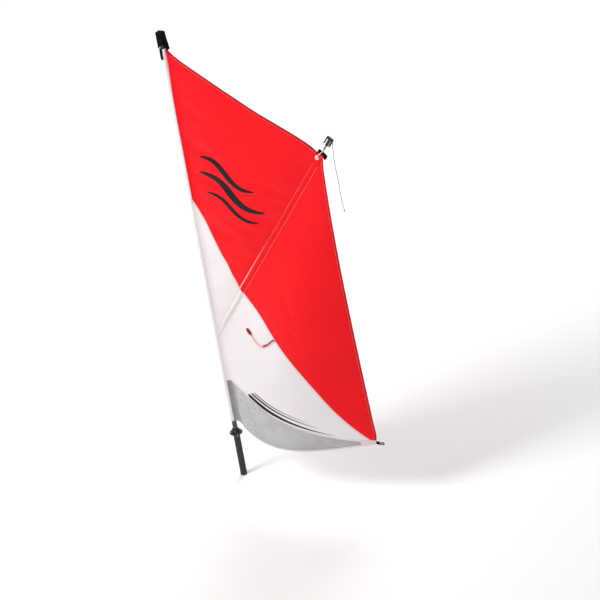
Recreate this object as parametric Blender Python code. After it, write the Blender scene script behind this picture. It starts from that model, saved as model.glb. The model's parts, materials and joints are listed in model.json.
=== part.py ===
"""Small-boat sail rig: deck step, two-piece rotating mast, sleeved sail with one long diagonal batten.

Metres, +Z up the mast, +X from the mast to the clew.  The sail bellies towards -Y.
The origin is the centre of the bottom face of the mast step tube.
"""
import math

import bmesh
import bpy
from mathutils import Matrix, Vector

# ---------------------------------------------------------------- driving dimensions
GAP = 0.0003                    # clearance between touching pieces
PANEL_GAP = 0.0005              # pulled back from every cloth panel's edge

DECK_Z = 0.280                  # underside of the step flange
FLANGE_T = 0.005
FLANGE_R = 0.037
STEP_R, STEP_BORE_R, STEP_FLOOR = 0.019, 0.0162, 0.005
SCREW_CIRCLE_R, SCREW_COUNT = 0.029, 4

LOWER_R, LOWER_BORE_R = 0.0140, 0.0120
UPPER_R, UPPER_BORE_R = 0.0125, 0.0106
JOINT_Z = 1.500                 # where the two mast sections meet
SPIGOT = 0.090                  # how far the joint reaches into the upper section

TACK_Z = 0.365                  # lower end of the luff sleeve
LUFF_LENGTH = 2.320             # tack to head corner, along the mast
MAST_TOP_Z = TACK_Z + 2.440

SLEEVE_R, SLEEVE_TAIL, SLEEVE_WALL = 0.0158, 0.0347, 0.0012
SLEEVE_HEAD_R = 0.0200          # the sleeve widens towards the head
SLEEVE_FLARE_START = 1.80       # above the tack

LUFF_R = 0.0358                 # where the panels begin, from the mast's axis
CLEW_R, CLEW_RISE = 0.926, 0.012
PEAK_R, PEAK_RISE = 0.8845, 1.800
HEAD_SLOPE, HEAD_HOLLOW = 0.582, 0.012
HEAD_LIFT, HEAD_FULLNESS = 0.0065, 0.0125   # the head's edge stands above that line, most towards the peak
LEECH_HOLLOW = 0.018
LEECH_FOOT_R, CORNER_EASE = 0.9395, 0.030    # the leech stands out above the clew's narrow corner
FOOT_ROUND, FOOT_SKEW = 0.067, 0.60          # the foot's round, and how much of it lies forward
CLOTH_T = 0.002
TAPE_W = 0.014
FOOT_BELLY, HEAD_BELLY = 0.100, 0.022
BELLY_REACH = 0.28              # how far below the batten the belly takes to fill

BATTEN_RISE, BATTEN_SLOPE = 0.570, 1.427    # batten line: height at the mast, rise per metre
POCKET_HALF, POCKET_INNER_HALF = 0.0180, 0.0165
POCKET_DEPTH, POCKET_INNER_DEPTH = 0.0120, 0.0096
HEEL_S, MOUTH_S, TIP_S = 0.110, 1.530, 1.660    # stations along the batten
ROD_R = 0.0042

EYELET_S, EYELET_P = 1.497, -0.0095
EYELET_BORE_R, EYELET_BARREL_R, EYELET_FLANGE_R = 0.0040, 0.0048, 0.0125
CORD_R = 0.0020

SEAM_START = (0.010, 1.440)     # red and white panels meet on this curve
SEAM_PULL = (0.1625, 1.0765)
SEAM_CROSS = (0.215, 0.885)      # where it crosses the batten
SEAM_LOW_PULLS = ((0.703, 0.377), (0.644, 0.286))
SEAM_END = (0.915, 0.022)
SEAM_SPLIT = 0.4                # share of the curve above the batten
WINDOW_LUFF_RISE, WINDOW_END_RISE = 0.272, 0.022
WINDOW_SAG = 0.048
PATCH_RISE = 0.040              # top of the clew patch

CLEW_Z = TACK_Z + 0.022         # height of the clew ring's middle
RING_BAR_X, RING_BOW = 0.9405, 0.0140
RING_WIRE_R, RING_HALF = 0.0020, 0.0110
HOOK_THICK, HOOK_WIDTH_R, HOOK_WALL = 0.0050, 0.0100, 0.0042
HOOK_STRAIGHT = 0.0080

TELLTALE_R, TELLTALE_RISE = 0.229, 0.634      # middle of the tell-tale's patch
RIBBON_R, RIBBON_RISE = TELLTALE_R + 0.012, TELLTALE_RISE - 0.012
RIBBON_LIFT, RIBBON_STAND = 0.0036, 0.0045    # off the cloth at its root, and further off behind it

# ---------------------------------------------------------------- axes
BATTEN_DIR = Vector((1.0, 0.0, BATTEN_SLOPE)).normalized()
BATTEN_SIDE = Vector((BATTEN_DIR.z, 0.0, -BATTEN_DIR.x))
BATTEN_FOOT = Vector((0.0, 0.0, TACK_Z + BATTEN_RISE))
HOOK_PIVOT = Vector((RING_BAR_X + RING_BOW, 0.0, CLEW_Z))
HOOK_FRONT_X = HOOK_PIVOT.x - HOOK_WALL - RING_WIRE_R - 0.0004
GATE_PIVOT = Vector((HOOK_FRONT_X + 0.0159, -0.0079, CLEW_Z))

COLOURS = {
    "cloth_red": ((0.80, 0.020, 0.030), 0.55, 0.0),
    "cloth_white": ((0.86, 0.84, 0.84), 0.60, 0.0),
    "window_vinyl": ((0.72, 0.74, 0.76), 0.15, 0.0),
    "webbing_black": ((0.015, 0.015, 0.017), 0.70, 0.0),
    "plastic_black": ((0.020, 0.020, 0.022), 0.40, 0.0),
    "mast_black": ((0.018, 0.018, 0.020), 0.35, 0.0),
    "rod_black": ((0.020, 0.020, 0.022), 0.30, 0.0),
    "nylon_white": ((0.75, 0.75, 0.72), 0.45, 0.0),
    "seal_rubber": ((0.030, 0.030, 0.030), 0.80, 0.0),
    "steel": ((0.70, 0.70, 0.72), 0.22, 1.0),
    "cord_white": ((0.82, 0.82, 0.80), 0.75, 0.0),
    "ribbon_red": ((0.60, 0.015, 0.025), 0.60, 0.0),
}


def clear_scene():
    for obj in list(bpy.data.objects):
        bpy.data.objects.remove(obj, do_unlink=True)


def make_materials():
    made = {}
    for name, (colour, roughness, metallic) in COLOURS.items():
        mat = bpy.data.materials.new(name)
        mat.use_nodes = True
        shader = mat.node_tree.nodes["Principled BSDF"]
        shader.inputs["Base Color"].default_value = (*colour, 1.0)
        shader.inputs["Roughness"].default_value = roughness
        shader.inputs["Metallic"].default_value = metallic
        mat.diffuse_color = (*colour, 1.0)
        made[name] = mat
    return made


def make_empties():
    """One empty per moving body, standing on its joint's axis, in the order of the joint tree."""
    made = {}
    for body, (parent, place) in BODIES.items():
        empty = bpy.data.objects.new("body_" + body, None)
        bpy.context.collection.objects.link(empty)
        empty.location = place
        if parent:
            empty.parent = made[parent]
            empty.location = place - BODIES[parent][1]
        made[body] = empty
    return made


def put(name, data, body, colour):
    """Link mesh or curve data, made in world coordinates, under its body's empty."""
    data.transform(Matrix.Translation(-BODIES[body][1]))
    data.materials.append(MATERIALS[colour])
    obj = bpy.data.objects.new(name, data)
    obj.parent = EMPTIES[body]
    bpy.context.collection.objects.link(obj)
    return obj


def put_bmesh(name, bm, body, colour, round_piece=True):
    bmesh.ops.recalc_face_normals(bm, faces=bm.faces)
    mesh = bpy.data.meshes.new(name)
    bm.to_mesh(mesh)
    bm.free()
    obj = put(name, mesh, body, colour)
    if round_piece:
        mesh.shade_smooth()
        mesh.set_sharp_from_angle(angle=math.radians(35))
    return obj


# ---------------------------------------------------------------- modelling helpers
def revolve(name, profile, body, colour, centre=(0, 0, 0), axis=(0, 0, 1), steps=32):
    """Turn a profile of (radius, height) points round an axis."""
    axis = Vector(axis).normalized()
    side = axis.orthogonal().normalized()
    centre = Vector(centre)
    bm = bmesh.new()
    verts = [bm.verts.new(centre + side * radius + axis * height) for radius, height in profile]
    pairs = list(zip(verts, verts[1:]))
    if all(radius > 0 for radius, _ in profile):
        pairs.append((verts[-1], verts[0]))
    edges = [bm.edges.new(pair) for pair in pairs]
    bmesh.ops.spin(bm, geom=verts + edges, cent=centre, axis=axis, angle=math.tau,
                   steps=steps, use_merge=True, use_duplicate=False)
    bmesh.ops.remove_doubles(bm, verts=bm.verts, dist=1e-6)
    return put_bmesh(name, bm, body, colour)


def pipe(name, outer, inner, low, high, body, colour, steps=32):
    profile = [(inner, low), (outer, low), (outer, high), (inner, high)]
    return revolve(name, profile, body, colour, steps=steps)


def prism(name, outline, sweep, body, colour):
    """Extrude a flat outline of 3-D points along the sweep vector."""
    bm = bmesh.new()
    face = bm.faces.new([bm.verts.new(point) for point in outline])
    pushed = bmesh.ops.extrude_face_region(bm, geom=[face])
    moved = [item for item in pushed["geom"] if isinstance(item, bmesh.types.BMVert)]
    bmesh.ops.translate(bm, verts=moved, vec=sweep)
    return put_bmesh(name, bm, body, colour)


def arc(centre, radius, start_deg, end_deg, count):
    points = []
    for k in range(count + 1):
        angle = math.radians(start_deg + (end_deg - start_deg) * k / count)
        points.append((centre[0] + radius * math.cos(angle), centre[1] + radius * math.sin(angle)))
    return points


def wire(name, points, radius, body, colour, closed=False):
    curve = bpy.data.curves.new(name, "CURVE")
    curve.dimensions = "3D"
    curve.bevel_depth = radius
    curve.bevel_resolution = 2
    curve.use_fill_caps = not closed
    spline = curve.splines.new("POLY")
    spline.points.add(len(points) - 1)
    for item, point in zip(spline.points, points):
        item.co = (*point, 1.0)
    spline.use_cyclic_u = closed
    return put(name, curve, body, colour)


def smooth_path(route, step):
    """Points about one step apart on a Catmull-Rom curve through the route."""
    route = [Vector(point) for point in route]
    ends = [2 * route[0] - route[1]] + route + [2 * route[-1] - route[-2]]
    dense = []
    for a, b, c, d in zip(ends, ends[1:], ends[2:], ends[3:]):
        for k in range(20):
            t = k / 20
            dense.append(0.5 * (2 * b + (c - a) * t + (2 * a - 5 * b + 4 * c - d) * t ** 2
                                + (3 * b - a - 3 * c + d) * t ** 3))
    dense.append(route[-1])
    total = sum((b - a).length for a, b in zip(dense, dense[1:]))
    count = max(2, round(total / step))
    points, walked, wanted = [dense[0]], 0.0, total / count
    for a, b in zip(dense, dense[1:]):
        span = (b - a).length
        while len(points) < count and walked + span >= wanted * len(points):
            points.append(a.lerp(b, (wanted * len(points) - walked) / span))
        walked += span
    points.append(dense[-1])
    return points


def cut(target, cutter):
    cutter.hide_render = True
    cutter.display_type = "WIRE"
    modifier = target.modifiers.new("cut_" + cutter.name, "BOOLEAN")
    modifier.operation = "DIFFERENCE"
    modifier.object = cutter


def bevel(obj, width, segments=2):
    modifier = obj.modifiers.new("bevel", "BEVEL")
    modifier.width = width
    modifier.segments = segments
    modifier.limit_method = "ANGLE"
    modifier.angle_limit = math.radians(40)


def crossing(curve, value, low=0.0, high=1.0):
    """Parameter where a curve's value changes sign, by halving."""
    sign = value(curve(low)) > 0
    for _ in range(50):
        middle = (low + high) / 2
        if (value(curve(middle)) > 0) == sign:
            low = middle
        else:
            high = middle
    return (low + high) / 2


# ---------------------------------------------------------------- sail surface
def smooth(t):
    """Eases from 0 to 1."""
    t = min(max(t, 0.0), 1.0)
    return t * t * (3 - 2 * t)


def lerp(a, b, t):
    return tuple(p + (q - p) * t for p, q in zip(a, b))


def leech(t):
    """Clew (t=0) to peak (t=1): cut in at the clew, and slightly hollow, mostly in the upper half."""
    r, z = lerp((LEECH_FOOT_R, CLEW_RISE), (PEAK_R, PEAK_RISE), t)
    corner = (LEECH_FOOT_R - CLEW_R) * math.exp(-max(z - CLEW_RISE - 0.022, 0.0) / CORNER_EASE)
    return r - corner - LEECH_HOLLOW * 4 * t * (1 - t) * (0.5 + t), z


def leech_r(z):
    t = min(max((z - CLEW_RISE) / (PEAK_RISE - CLEW_RISE), 0.0), 1.0)
    return leech(t)[0]


def foot(t):
    r, z = lerp((LUFF_R, 0.0), (CLEW_R, CLEW_RISE), t)
    return r, z - FOOT_ROUND * 4 * t * (1 - t) * (1 + FOOT_SKEW - 2 * FOOT_SKEW * t)


def head_z(r):
    t = min(max((r - LUFF_R) / (PEAK_R - LUFF_R), 0.0), 1.0)
    full = HEAD_LIFT * smooth(t / 0.05) + HEAD_FULLNESS * smooth((t - 0.52) / 0.32)
    return (LUFF_LENGTH - HEAD_SLOPE * (r - LUFF_R) - HEAD_HOLLOW * 4 * t * (1 - t)
            + full * smooth((1 - t) / 0.12))


def bezier(points, t):
    while len(points) > 1:
        points = [lerp(a, b, t) for a, b in zip(points, points[1:])]
    return points[0]


def seam(t):
    """Where red meets white, luff (t=0) to clew (t=1); it bends where it crosses the batten."""
    if t < SEAM_SPLIT:
        return bezier((SEAM_START, SEAM_PULL, SEAM_CROSS), t / SEAM_SPLIT)
    return bezier((SEAM_CROSS, *SEAM_LOW_PULLS, SEAM_END), (t - SEAM_SPLIT) / (1 - SEAM_SPLIT))


def window_seam(t):
    r, z = lerp((LUFF_R, WINDOW_LUFF_RISE), (0.915, WINDOW_END_RISE), t)
    return r, z - WINDOW_SAG * 4 * t * (1 - t)


def batten_point(s, p):
    """(r, z above the tack) at station s along the batten, p to its lower side."""
    spot = BATTEN_DIR * s + BATTEN_SIDE * p
    return spot.x, BATTEN_RISE + spot.z


def below_batten(point):
    """Distance under the batten's line; negative above it."""
    return point[0] * BATTEN_SIDE.x + (point[1] - BATTEN_RISE) * BATTEN_SIDE.z


def belly(r, z):
    """How far the cloth stands out towards -Y.  It is nil along the mast, the leech and the batten."""
    under = below_batten((r, z))
    if under > 0:
        s = min(max((r - LUFF_R) / (leech_r(z) - LUFF_R), 0.0), 1.0)
        fill = 1 - math.exp(-(under / BELLY_REACH) ** 2)
        return FOOT_BELLY * fill * 4 * s * (1 - s) * (1.15 - 0.3 * s)
    along = max(r - LUFF_R, 0.0) / (PEAK_R - LUFF_R)
    drop = max(head_z(r) - z, 0.0) / (LUFF_LENGTH - BATTEN_RISE)
    return HEAD_BELLY * 27 * along * drop * min(-under, 1.0)


def on_sail(point, lift=0.0):
    r, z = point
    return Vector((r, -belly(r, z) - lift, TACK_Z + z))


def ribbon_lift(r):
    return RIBBON_LIFT + RIBBON_STAND * min(max((r - RIBBON_R) / 0.050, 0.0), 1.0)


# each body: its parent and a point on the joint between them
BODIES = {
    "mast_step": (None, Vector((0, 0, 0))),
    "mast_lower": ("mast_step", Vector((0, 0, 0))),
    "mast_upper": ("mast_lower", Vector((0, 0, JOINT_Z))),
    "sail": ("mast_upper", Vector((0, 0, TACK_Z))),
    "batten": ("sail", BATTEN_FOOT),
    "telltale": ("sail", on_sail((RIBBON_R, RIBBON_RISE), RIBBON_LIFT)),
    "ring": ("sail", Vector((RING_BAR_X, 0, CLEW_Z))),
    "hook": ("ring", HOOK_PIVOT),
    "gate": ("hook", GATE_PIVOT),
    "swivel": ("hook", HOOK_PIVOT),
}


def coons(bottom, top, left, right, across, up):
    """Grid of (r, z) points filling four boundary curves that meet at the corners."""
    rows = []
    for j in range(up + 1):
        v = j / up
        row = []
        for i in range(across + 1):
            u = i / across
            b, t, l, r = bottom(u), top(u), left(v), right(v)
            row.append(tuple(
                (1 - v) * b[k] + v * t[k] + (1 - u) * l[k] + u * r[k]
                - (1 - u) * (1 - v) * bottom(0)[k] - u * (1 - v) * bottom(1)[k]
                - (1 - u) * v * top(0)[k] - u * v * top(1)[k] for k in (0, 1)))
        rows.append(row)
    return rows


def pull_in(rows, amount):
    """Move the grid's rim inwards, so that neighbouring panels don't touch."""
    last_j, last_i = len(rows) - 1, len(rows[0]) - 1
    result = [list(row) for row in rows]
    for j, row in enumerate(rows):
        for i, point in enumerate(row):
            inner_j = min(max(j, 1), last_j - 1)
            inner_i = min(max(i, 1), last_i - 1)
            for target in {(inner_j, i), (j, inner_i)} - {(j, i)}:
                step = Vector(rows[target[0]][target[1]]) - Vector(point)
                shift = step.normalized() * min(amount, step.length / 3)
                moved = result[j][i]
                result[j][i] = (moved[0] + shift.x, moved[1] + shift.y)
    return result


def cloth(name, rows, colour, body="sail", lift=0.0, thickness=CLOTH_T, rim=PANEL_GAP):
    """A closed cloth panel: a grid on the sail's surface, thickened both ways."""
    rows = pull_in(rows, rim)
    height = lift if callable(lift) else lambda point: lift
    bm = bmesh.new()
    grid = [[bm.verts.new(on_sail(point, height(point))) for point in row] for row in rows]
    for lower, upper in zip(grid, grid[1:]):
        for a, b, c, d in zip(lower, lower[1:], upper[1:], upper):
            bm.faces.new((a, b, c, d))
    obj = put_bmesh(name, bm, body, colour)
    solidify = obj.modifiers.new("thickness", "SOLIDIFY")
    solidify.thickness = thickness
    solidify.offset = 0.0
    return obj


def straight(a, b):
    return lambda t: lerp(a, b, t)


def stretch(curve, low, high):
    return lambda t: curve(low + (high - low) * t)


def joined(first, second, share):
    """Two curves end to end; the first takes this share of the parameter."""
    return lambda t: first(t / share) if t < share else second((t - share) / (1 - share))


def shifted(curve, dr, dz):
    return lambda t: (curve(t)[0] + dr, curve(t)[1] + dz)


# ---------------------------------------------------------------- mast step (fixed to the boat)
def build_step():
    top = DECK_Z + FLANGE_T
    groove = (0.0210, 0.0245, 0.0012)
    step = revolve("step_tube", [
        (0, 0), (STEP_R, 0), (STEP_R, DECK_Z),
        (groove[0], DECK_Z), (groove[0], DECK_Z + groove[2]),
        (groove[1], DECK_Z + groove[2]), (groove[1], DECK_Z),
        (FLANGE_R, DECK_Z), (FLANGE_R, top - 0.0015), (FLANGE_R - 0.0015, top),
        (STEP_BORE_R, top), (STEP_BORE_R, STEP_FLOOR), (0, STEP_FLOOR)],
        "mast_step", "plastic_black", steps=40)
    pipe("step_seal", groove[1] - GAP, groove[0] + GAP, DECK_Z, DECK_Z + groove[2] - GAP,
         "mast_step", "seal_rubber")
    revolve("step_wear_disc", [
        (0, STEP_FLOOR + GAP), (STEP_BORE_R - 0.0004, STEP_FLOOR + GAP),
        (STEP_BORE_R - 0.0004, STEP_FLOOR + 0.003), (0, STEP_FLOOR + 0.003)],
        "mast_step", "nylon_white")
    bush_out = STEP_BORE_R - GAP
    revolve("step_bush", [
        (LOWER_R + 0.0004, top - 0.040), (bush_out, top - 0.040), (bush_out, top + GAP),
        (0.0205, top + GAP), (0.0205, top + 0.0028), (LOWER_R + 0.0004, top + 0.0028)],
        "mast_step", "nylon_white")
    for k in range(SCREW_COUNT):
        angle = math.tau * (k + 0.5) / SCREW_COUNT
        spot = (SCREW_CIRCLE_R * math.cos(angle), SCREW_CIRCLE_R * math.sin(angle), top)
        hole = revolve("guide_screw_hole_%d" % (k + 1),
                       [(0, -0.01), (0.0023, -0.01), (0.0023, 0.01), (0, 0.01)],
                       "mast_step", "steel", centre=spot, steps=12)
        cut(step, hole)
        revolve("step_screw_%d" % (k + 1), [
            (0, -0.016), (0.0010, -0.016), (0.0019, -0.013), (0.0019, GAP), (0.0040, GAP),
            (0.0040, 0.0012), (0.0030, 0.0024), (0.0012, 0.0024), (0.0012, 0.0014), (0, 0.0014)],
            "mast_step", "steel", centre=spot, steps=12)


# ---------------------------------------------------------------- mast
def build_lower_mast():
    seat = STEP_FLOOR + 0.003 + GAP
    revolve("mast_foot_plug", [
        (0, seat), (0.0120, seat), (0.0154, seat + 0.0030), (0.0154, seat + 0.0100),
        (LOWER_BORE_R - GAP, seat + 0.0100), (LOWER_BORE_R - GAP, seat + 0.035), (0, seat + 0.035)],
        "mast_lower", "nylon_white")
    pipe("lower_mast_tube", LOWER_R, LOWER_BORE_R, seat + 0.0100 + GAP, JOINT_Z,
         "mast_lower", "mast_black")
    low = DECK_Z + FLANGE_T + 0.0028 + GAP
    inner = LOWER_R + GAP
    collar = revolve("mast_stop_collar", [
        (inner, low), (0.0200, low), (0.0212, low + 0.0012), (0.0212, low + 0.0150),
        (0.0180, low + 0.0200), (inner, low + 0.0200)], "mast_lower", "plastic_black")
    hole = revolve("guide_collar_hole", [(0, 0.0175), (0.0029, 0.0175), (0.0029, 0.03), (0, 0.03)],
                   "mast_lower", "steel", centre=(0, 0, low + 0.008), axis=(0.5, -1, 0), steps=12)
    cut(collar, hole)
    revolve("collar_screw", [
        (0, 0.0178), (0.0025, 0.0178), (0.0025, 0.0216), (0.0012, 0.0216),
        (0.0012, 0.0204), (0, 0.0204)],
        "mast_lower", "steel", centre=(0, 0, low + 0.008), axis=(0.5, -1, 0), steps=12)
    revolve("mast_joint_spigot", [
        (0, JOINT_Z - 0.080), (LOWER_BORE_R - GAP, JOINT_Z - 0.080), (LOWER_BORE_R - GAP, JOINT_Z + GAP),
        (LOWER_R, JOINT_Z + GAP), (LOWER_R, JOINT_Z + 0.008),
        (UPPER_BORE_R - GAP, JOINT_Z + 0.008), (UPPER_BORE_R - GAP, JOINT_Z + SPIGOT - 0.004),
        (UPPER_BORE_R - 0.0025, JOINT_Z + SPIGOT), (0, JOINT_Z + SPIGOT)],
        "mast_lower", "nylon_white")


def build_upper_mast():
    low = JOINT_Z + 0.008 + GAP
    high = MAST_TOP_Z - 0.014
    pipe("upper_mast_tube", UPPER_R, UPPER_BORE_R, low, high, "mast_upper", "mast_black")
    plug = UPPER_BORE_R - GAP
    dome = arc((0.0085, MAST_TOP_Z - 0.004), 0.0040, 0, 90, 4)
    revolve("mast_top_plug", [(0, high - 0.040), (plug, high - 0.040), (plug, high + GAP),
                              (UPPER_R, high + GAP)] + dome + [(0, MAST_TOP_Z)],
            "mast_upper", "plastic_black")


# ---------------------------------------------------------------- luff sleeve and head cap
def teardrop(radius, tail, z, half_tip=0.0009):
    """Section of a sleeve pulled round the mast: a round front and two flats to a narrow tail."""
    open_deg = math.degrees(math.acos(radius / tail))
    points = arc((0, 0), radius, open_deg, 360 - open_deg, 18)
    points += [(tail, -half_tip), (tail, half_tip)]
    return [(x, y, z) for x, y in points]


def shell(name, outer, inner, body, colour, closed_top=False):
    """A hollow loft through matching rings, open at the bottom; the top is open or closed."""
    bm = bmesh.new()
    outer = [[bm.verts.new(point) for point in ring] for ring in outer]
    inner = [[bm.verts.new(point) for point in ring] for ring in inner]
    loops = inner[::-1] + outer
    if not closed_top:
        loops.append(inner[-1])
    for lower, upper in zip(loops, loops[1:]):
        for a, b, c, d in zip(lower, lower[1:] + lower[:1], upper[1:] + upper[:1], upper):
            bm.faces.new((a, b, c, d))
    if closed_top:
        bm.faces.new(outer[-1])
        bm.faces.new(inner[-1])
    return put_bmesh(name, bm, body, colour)


def sleeve_radius(rise):
    t = min(max((rise - SLEEVE_FLARE_START) / (LUFF_LENGTH - SLEEVE_FLARE_START), 0.0), 1.0)
    return SLEEVE_R + (SLEEVE_HEAD_R - SLEEVE_R) * t * t * (3 - 2 * t)


def build_sleeve():
    top = LUFF_LENGTH + 0.030
    rises = [top * k / 8 for k in range(6)] + [SLEEVE_FLARE_START + (top - SLEEVE_FLARE_START) * k / 6
                                               for k in range(7)]
    outer = [teardrop(sleeve_radius(rise), SLEEVE_TAIL, TACK_Z + rise) for rise in rises]
    inner = [teardrop(sleeve_radius(rise) - SLEEVE_WALL, SLEEVE_TAIL - 0.005, TACK_Z + rise, 0.0003)
             for rise in rises]
    shell("luff_sleeve", outer, inner, "sail", "cloth_white")


def build_head_cap():
    """Webbing hood over the mast's top; its front edge reaches lower, as a tongue down the sleeve."""
    wall = 0.0018
    side_z, tongue = TACK_Z + LUFF_LENGTH + 0.012, 0.050
    ceiling = MAST_TOP_Z + GAP
    stations = [(0.0, 0.0), (0.25, 0.1), (0.55, 0.45), (0.85, 0.85), (1.0, 1.0)]

    def ring(share, blend, inset, top_z):
        radius = SLEEVE_HEAD_R + 0.0005 + wall - inset
        tail = SLEEVE_TAIL + 0.0045 + (0.0235 - SLEEVE_TAIL - 0.0045) * blend - inset * 1.6
        points = teardrop(radius, max(tail, radius + 0.0006), 0.0)
        placed = []
        for x, y, _ in points:
            front = max(0.0, -x / radius - 0.35) / 0.65
            low = side_z - tongue * math.sin(front * math.pi / 2) ** 2
            placed.append((x, y, low + (top_z - low) * share))
        return placed

    outer = [ring(share, blend, 0.0, ceiling + wall) for share, blend in stations[:-1]]
    outer += [ring(1.0, 1.0, 0.0, ceiling + wall - 0.003), ring(1.0, 1.0, 0.003, ceiling + wall)]
    inner = [ring(share, blend, wall, ceiling) for share, blend in stations]
    shell("head_cap", outer, inner, "sail", "webbing_black", closed_top=True)


# ---------------------------------------------------------------- panels and tapes
def build_panels():
    tape = TAPE_W + PANEL_GAP
    cross_low = crossing(seam, lambda q: below_batten(q) - POCKET_HALF)
    cross_high = crossing(seam, lambda q: below_batten(q) + POCKET_HALF)
    seam_luff = crossing(seam, lambda q: q[0] - LUFF_R)
    seam_clew = crossing(seam, lambda q: q[1] - PATCH_RISE, 0.5, 1.0)
    window_clew = crossing(window_seam, lambda q: q[0] - 0.872, 0.5, 1.0)
    foot_clew = crossing(foot, lambda q: q[0] - 0.862, 0.5, 1.0)

    def station(point):
        return Vector((point[0], 0, point[1] - BATTEN_RISE)).dot(BATTEN_DIR)

    s_low, s_high = station(seam(cross_low)), station(seam(cross_high))
    pocket_low = straight(batten_point(HEEL_S, POCKET_HALF), batten_point(s_low, POCKET_HALF))
    pocket_high = straight(batten_point(HEEL_S, -POCKET_HALF), batten_point(s_high, -POCKET_HALF))
    heel_low, heel_high = (LUFF_R, 0.605), (LUFF_R, 0.690)

    # window, under the lower seam
    low_corner, high_corner = (foot(foot_clew)[0], foot(foot_clew)[1] + tape), window_seam(window_clew)
    cloth("window_panel", coons(
        shifted(stretch(foot, 0.0, foot_clew), 0, tape), stretch(window_seam, 0.0, window_clew),
        straight((LUFF_R, tape), (LUFF_R, WINDOW_LUFF_RISE)), straight(low_corner, high_corner), 20, 4),
        "window_vinyl")

    # white cloth under the batten
    upper = joined(straight(heel_low, batten_point(HEEL_S, POCKET_HALF)), pocket_low, 1 / 3)
    upper = joined(upper, stretch(seam, cross_low, seam_clew), 0.3)
    cloth("body_panel", coons(
        stretch(window_seam, 0.0, window_clew), upper,
        straight((LUFF_R, WINDOW_LUFF_RISE), heel_low), straight(high_corner, seam(seam_clew)), 20, 9),
        "cloth_white")

    # white cloth over the batten, against the luff
    cloth("luff_panel", coons(
        straight(heel_high, batten_point(HEEL_S, -POCKET_HALF)), stretch(seam, seam_luff, cross_high),
        straight(heel_high, seam(seam_luff)), pocket_high, 10, 12), "cloth_white")

    # red cloth over the batten
    peak_s = crossing(lambda s: batten_point(s, -POCKET_HALF),
                      lambda q: q[1] - head_z(q[0]) + tape, MOUTH_S - 0.1, MOUTH_S)
    peak = batten_point(peak_s, -POCKET_HALF)
    cloth("head_panel", coons(
        stretch(seam, seam_luff, cross_high), head_side(peak, tape),
        straight(seam(seam_luff), (LUFF_R, head_z(LUFF_R) - tape)),
        straight(batten_point(s_high, -POCKET_HALF), peak), 10, 14), "cloth_red")

    # red cloth under the batten, down the leech
    corner = (leech_r(PATCH_RISE) - tape, PATCH_RISE)
    peak_low = batten_point(MOUTH_S - 0.026, POCKET_HALF)
    cloth("leech_panel", coons(
        straight(seam(seam_clew), corner),
        straight(batten_point(s_low, POCKET_HALF), peak_low),
        lambda t: seam(seam_clew + (cross_low - seam_clew) * t),
        leech_side(corner, peak_low, tape), 14, 14), "cloth_red")

    build_tapes(peak, peak_low, foot_clew)
    build_patches(foot(foot_clew), high_corner, seam(seam_clew), heel_low, heel_high)
    return (s_low + s_high) / 2


def head_side(end, drop):
    """Line this far under the head's edge at the luff, bent to finish at the end point."""
    shift = end[1] - (head_z(end[0]) - drop)

    def curve(t):
        r = LUFF_R + (end[0] - LUFF_R) * t
        return r, head_z(r) - drop + shift * t
    return curve


def leech_side(low, high, inset):
    """Inner edge of the leech tape, clew to peak."""
    t_low = (low[1] - CLEW_RISE) / (PEAK_RISE - CLEW_RISE)
    t_high = (high[1] - CLEW_RISE) / (PEAK_RISE - CLEW_RISE)
    start, end = leech(t_low)[0] - inset - low[0], leech(t_high)[0] - inset - high[0]

    def curve(t):
        r, z = leech(t_low + (t_high - t_low) * t)
        return r - inset - start * (1 - t) - end * t, z
    return curve


def band(outer, inner, count):
    """Grid of a tape between its two edges."""
    return coons(inner, outer, straight(inner(0), outer(0)), straight(inner(1), outer(1)), count, 2)


def build_tapes(peak, peak_low, foot_clew):
    peak_out = batten_point(MOUTH_S - 0.002, -POCKET_HALF)
    cloth("head_tape", band(head_side(peak_out, 0.0), head_side(peak, TAPE_W), 18), "cloth_red")
    edge = (leech_r(PATCH_RISE), PATCH_RISE)
    inner = leech_side((edge[0] - TAPE_W, PATCH_RISE), peak_low, TAPE_W)
    outer = leech_side(edge, batten_point(MOUTH_S - 0.006, POCKET_HALF), 0.0)
    cloth("leech_tape", band(outer, inner, 26), "cloth_red")
    lower = stretch(foot, 0.0, foot_clew)
    cloth("foot_tape", band(lower, shifted(lower, 0, TAPE_W), 22), "cloth_white")


def build_patches(foot_corner, window_corner, seam_corner, heel_low, heel_high):
    """Reinforcements at the clew and where the batten's heel bears on the luff."""
    clew, edge = (CLEW_R - 0.002, CLEW_RISE), (leech_r(PATCH_RISE), PATCH_RISE)
    bottom, top = straight(foot_corner, clew), straight(seam_corner, edge)
    left = joined(straight(foot_corner, window_corner), straight(window_corner, seam_corner), 0.5)
    right = straight(clew, edge)
    cloth("clew_patch", coons(bottom, top, left, right, 4, 4), "cloth_white", thickness=0.003)
    end_low = batten_point(HEEL_S - 2 * GAP, POCKET_HALF)
    end_high = batten_point(HEEL_S - 2 * GAP, -POCKET_HALF)
    cloth("heel_patch", coons(straight(heel_low, end_low), straight(heel_high, end_high),
                              straight(heel_low, heel_high), straight(end_low, end_high), 2, 3),
          "cloth_white", thickness=0.005)
    rows = [[(TELLTALE_R + 0.023 * i / 2 * (1 - 0.25 * (j / 2) ** 2),
              TELLTALE_RISE + 0.021 * j / 2 * (1 - 0.25 * (i / 2) ** 2)) for i in range(-2, 3)]
            for j in range(-2, 3)]
    cloth("telltale_patch", rows, "cloth_red", lift=0.0020, thickness=0.0008, rim=0.0)


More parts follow.
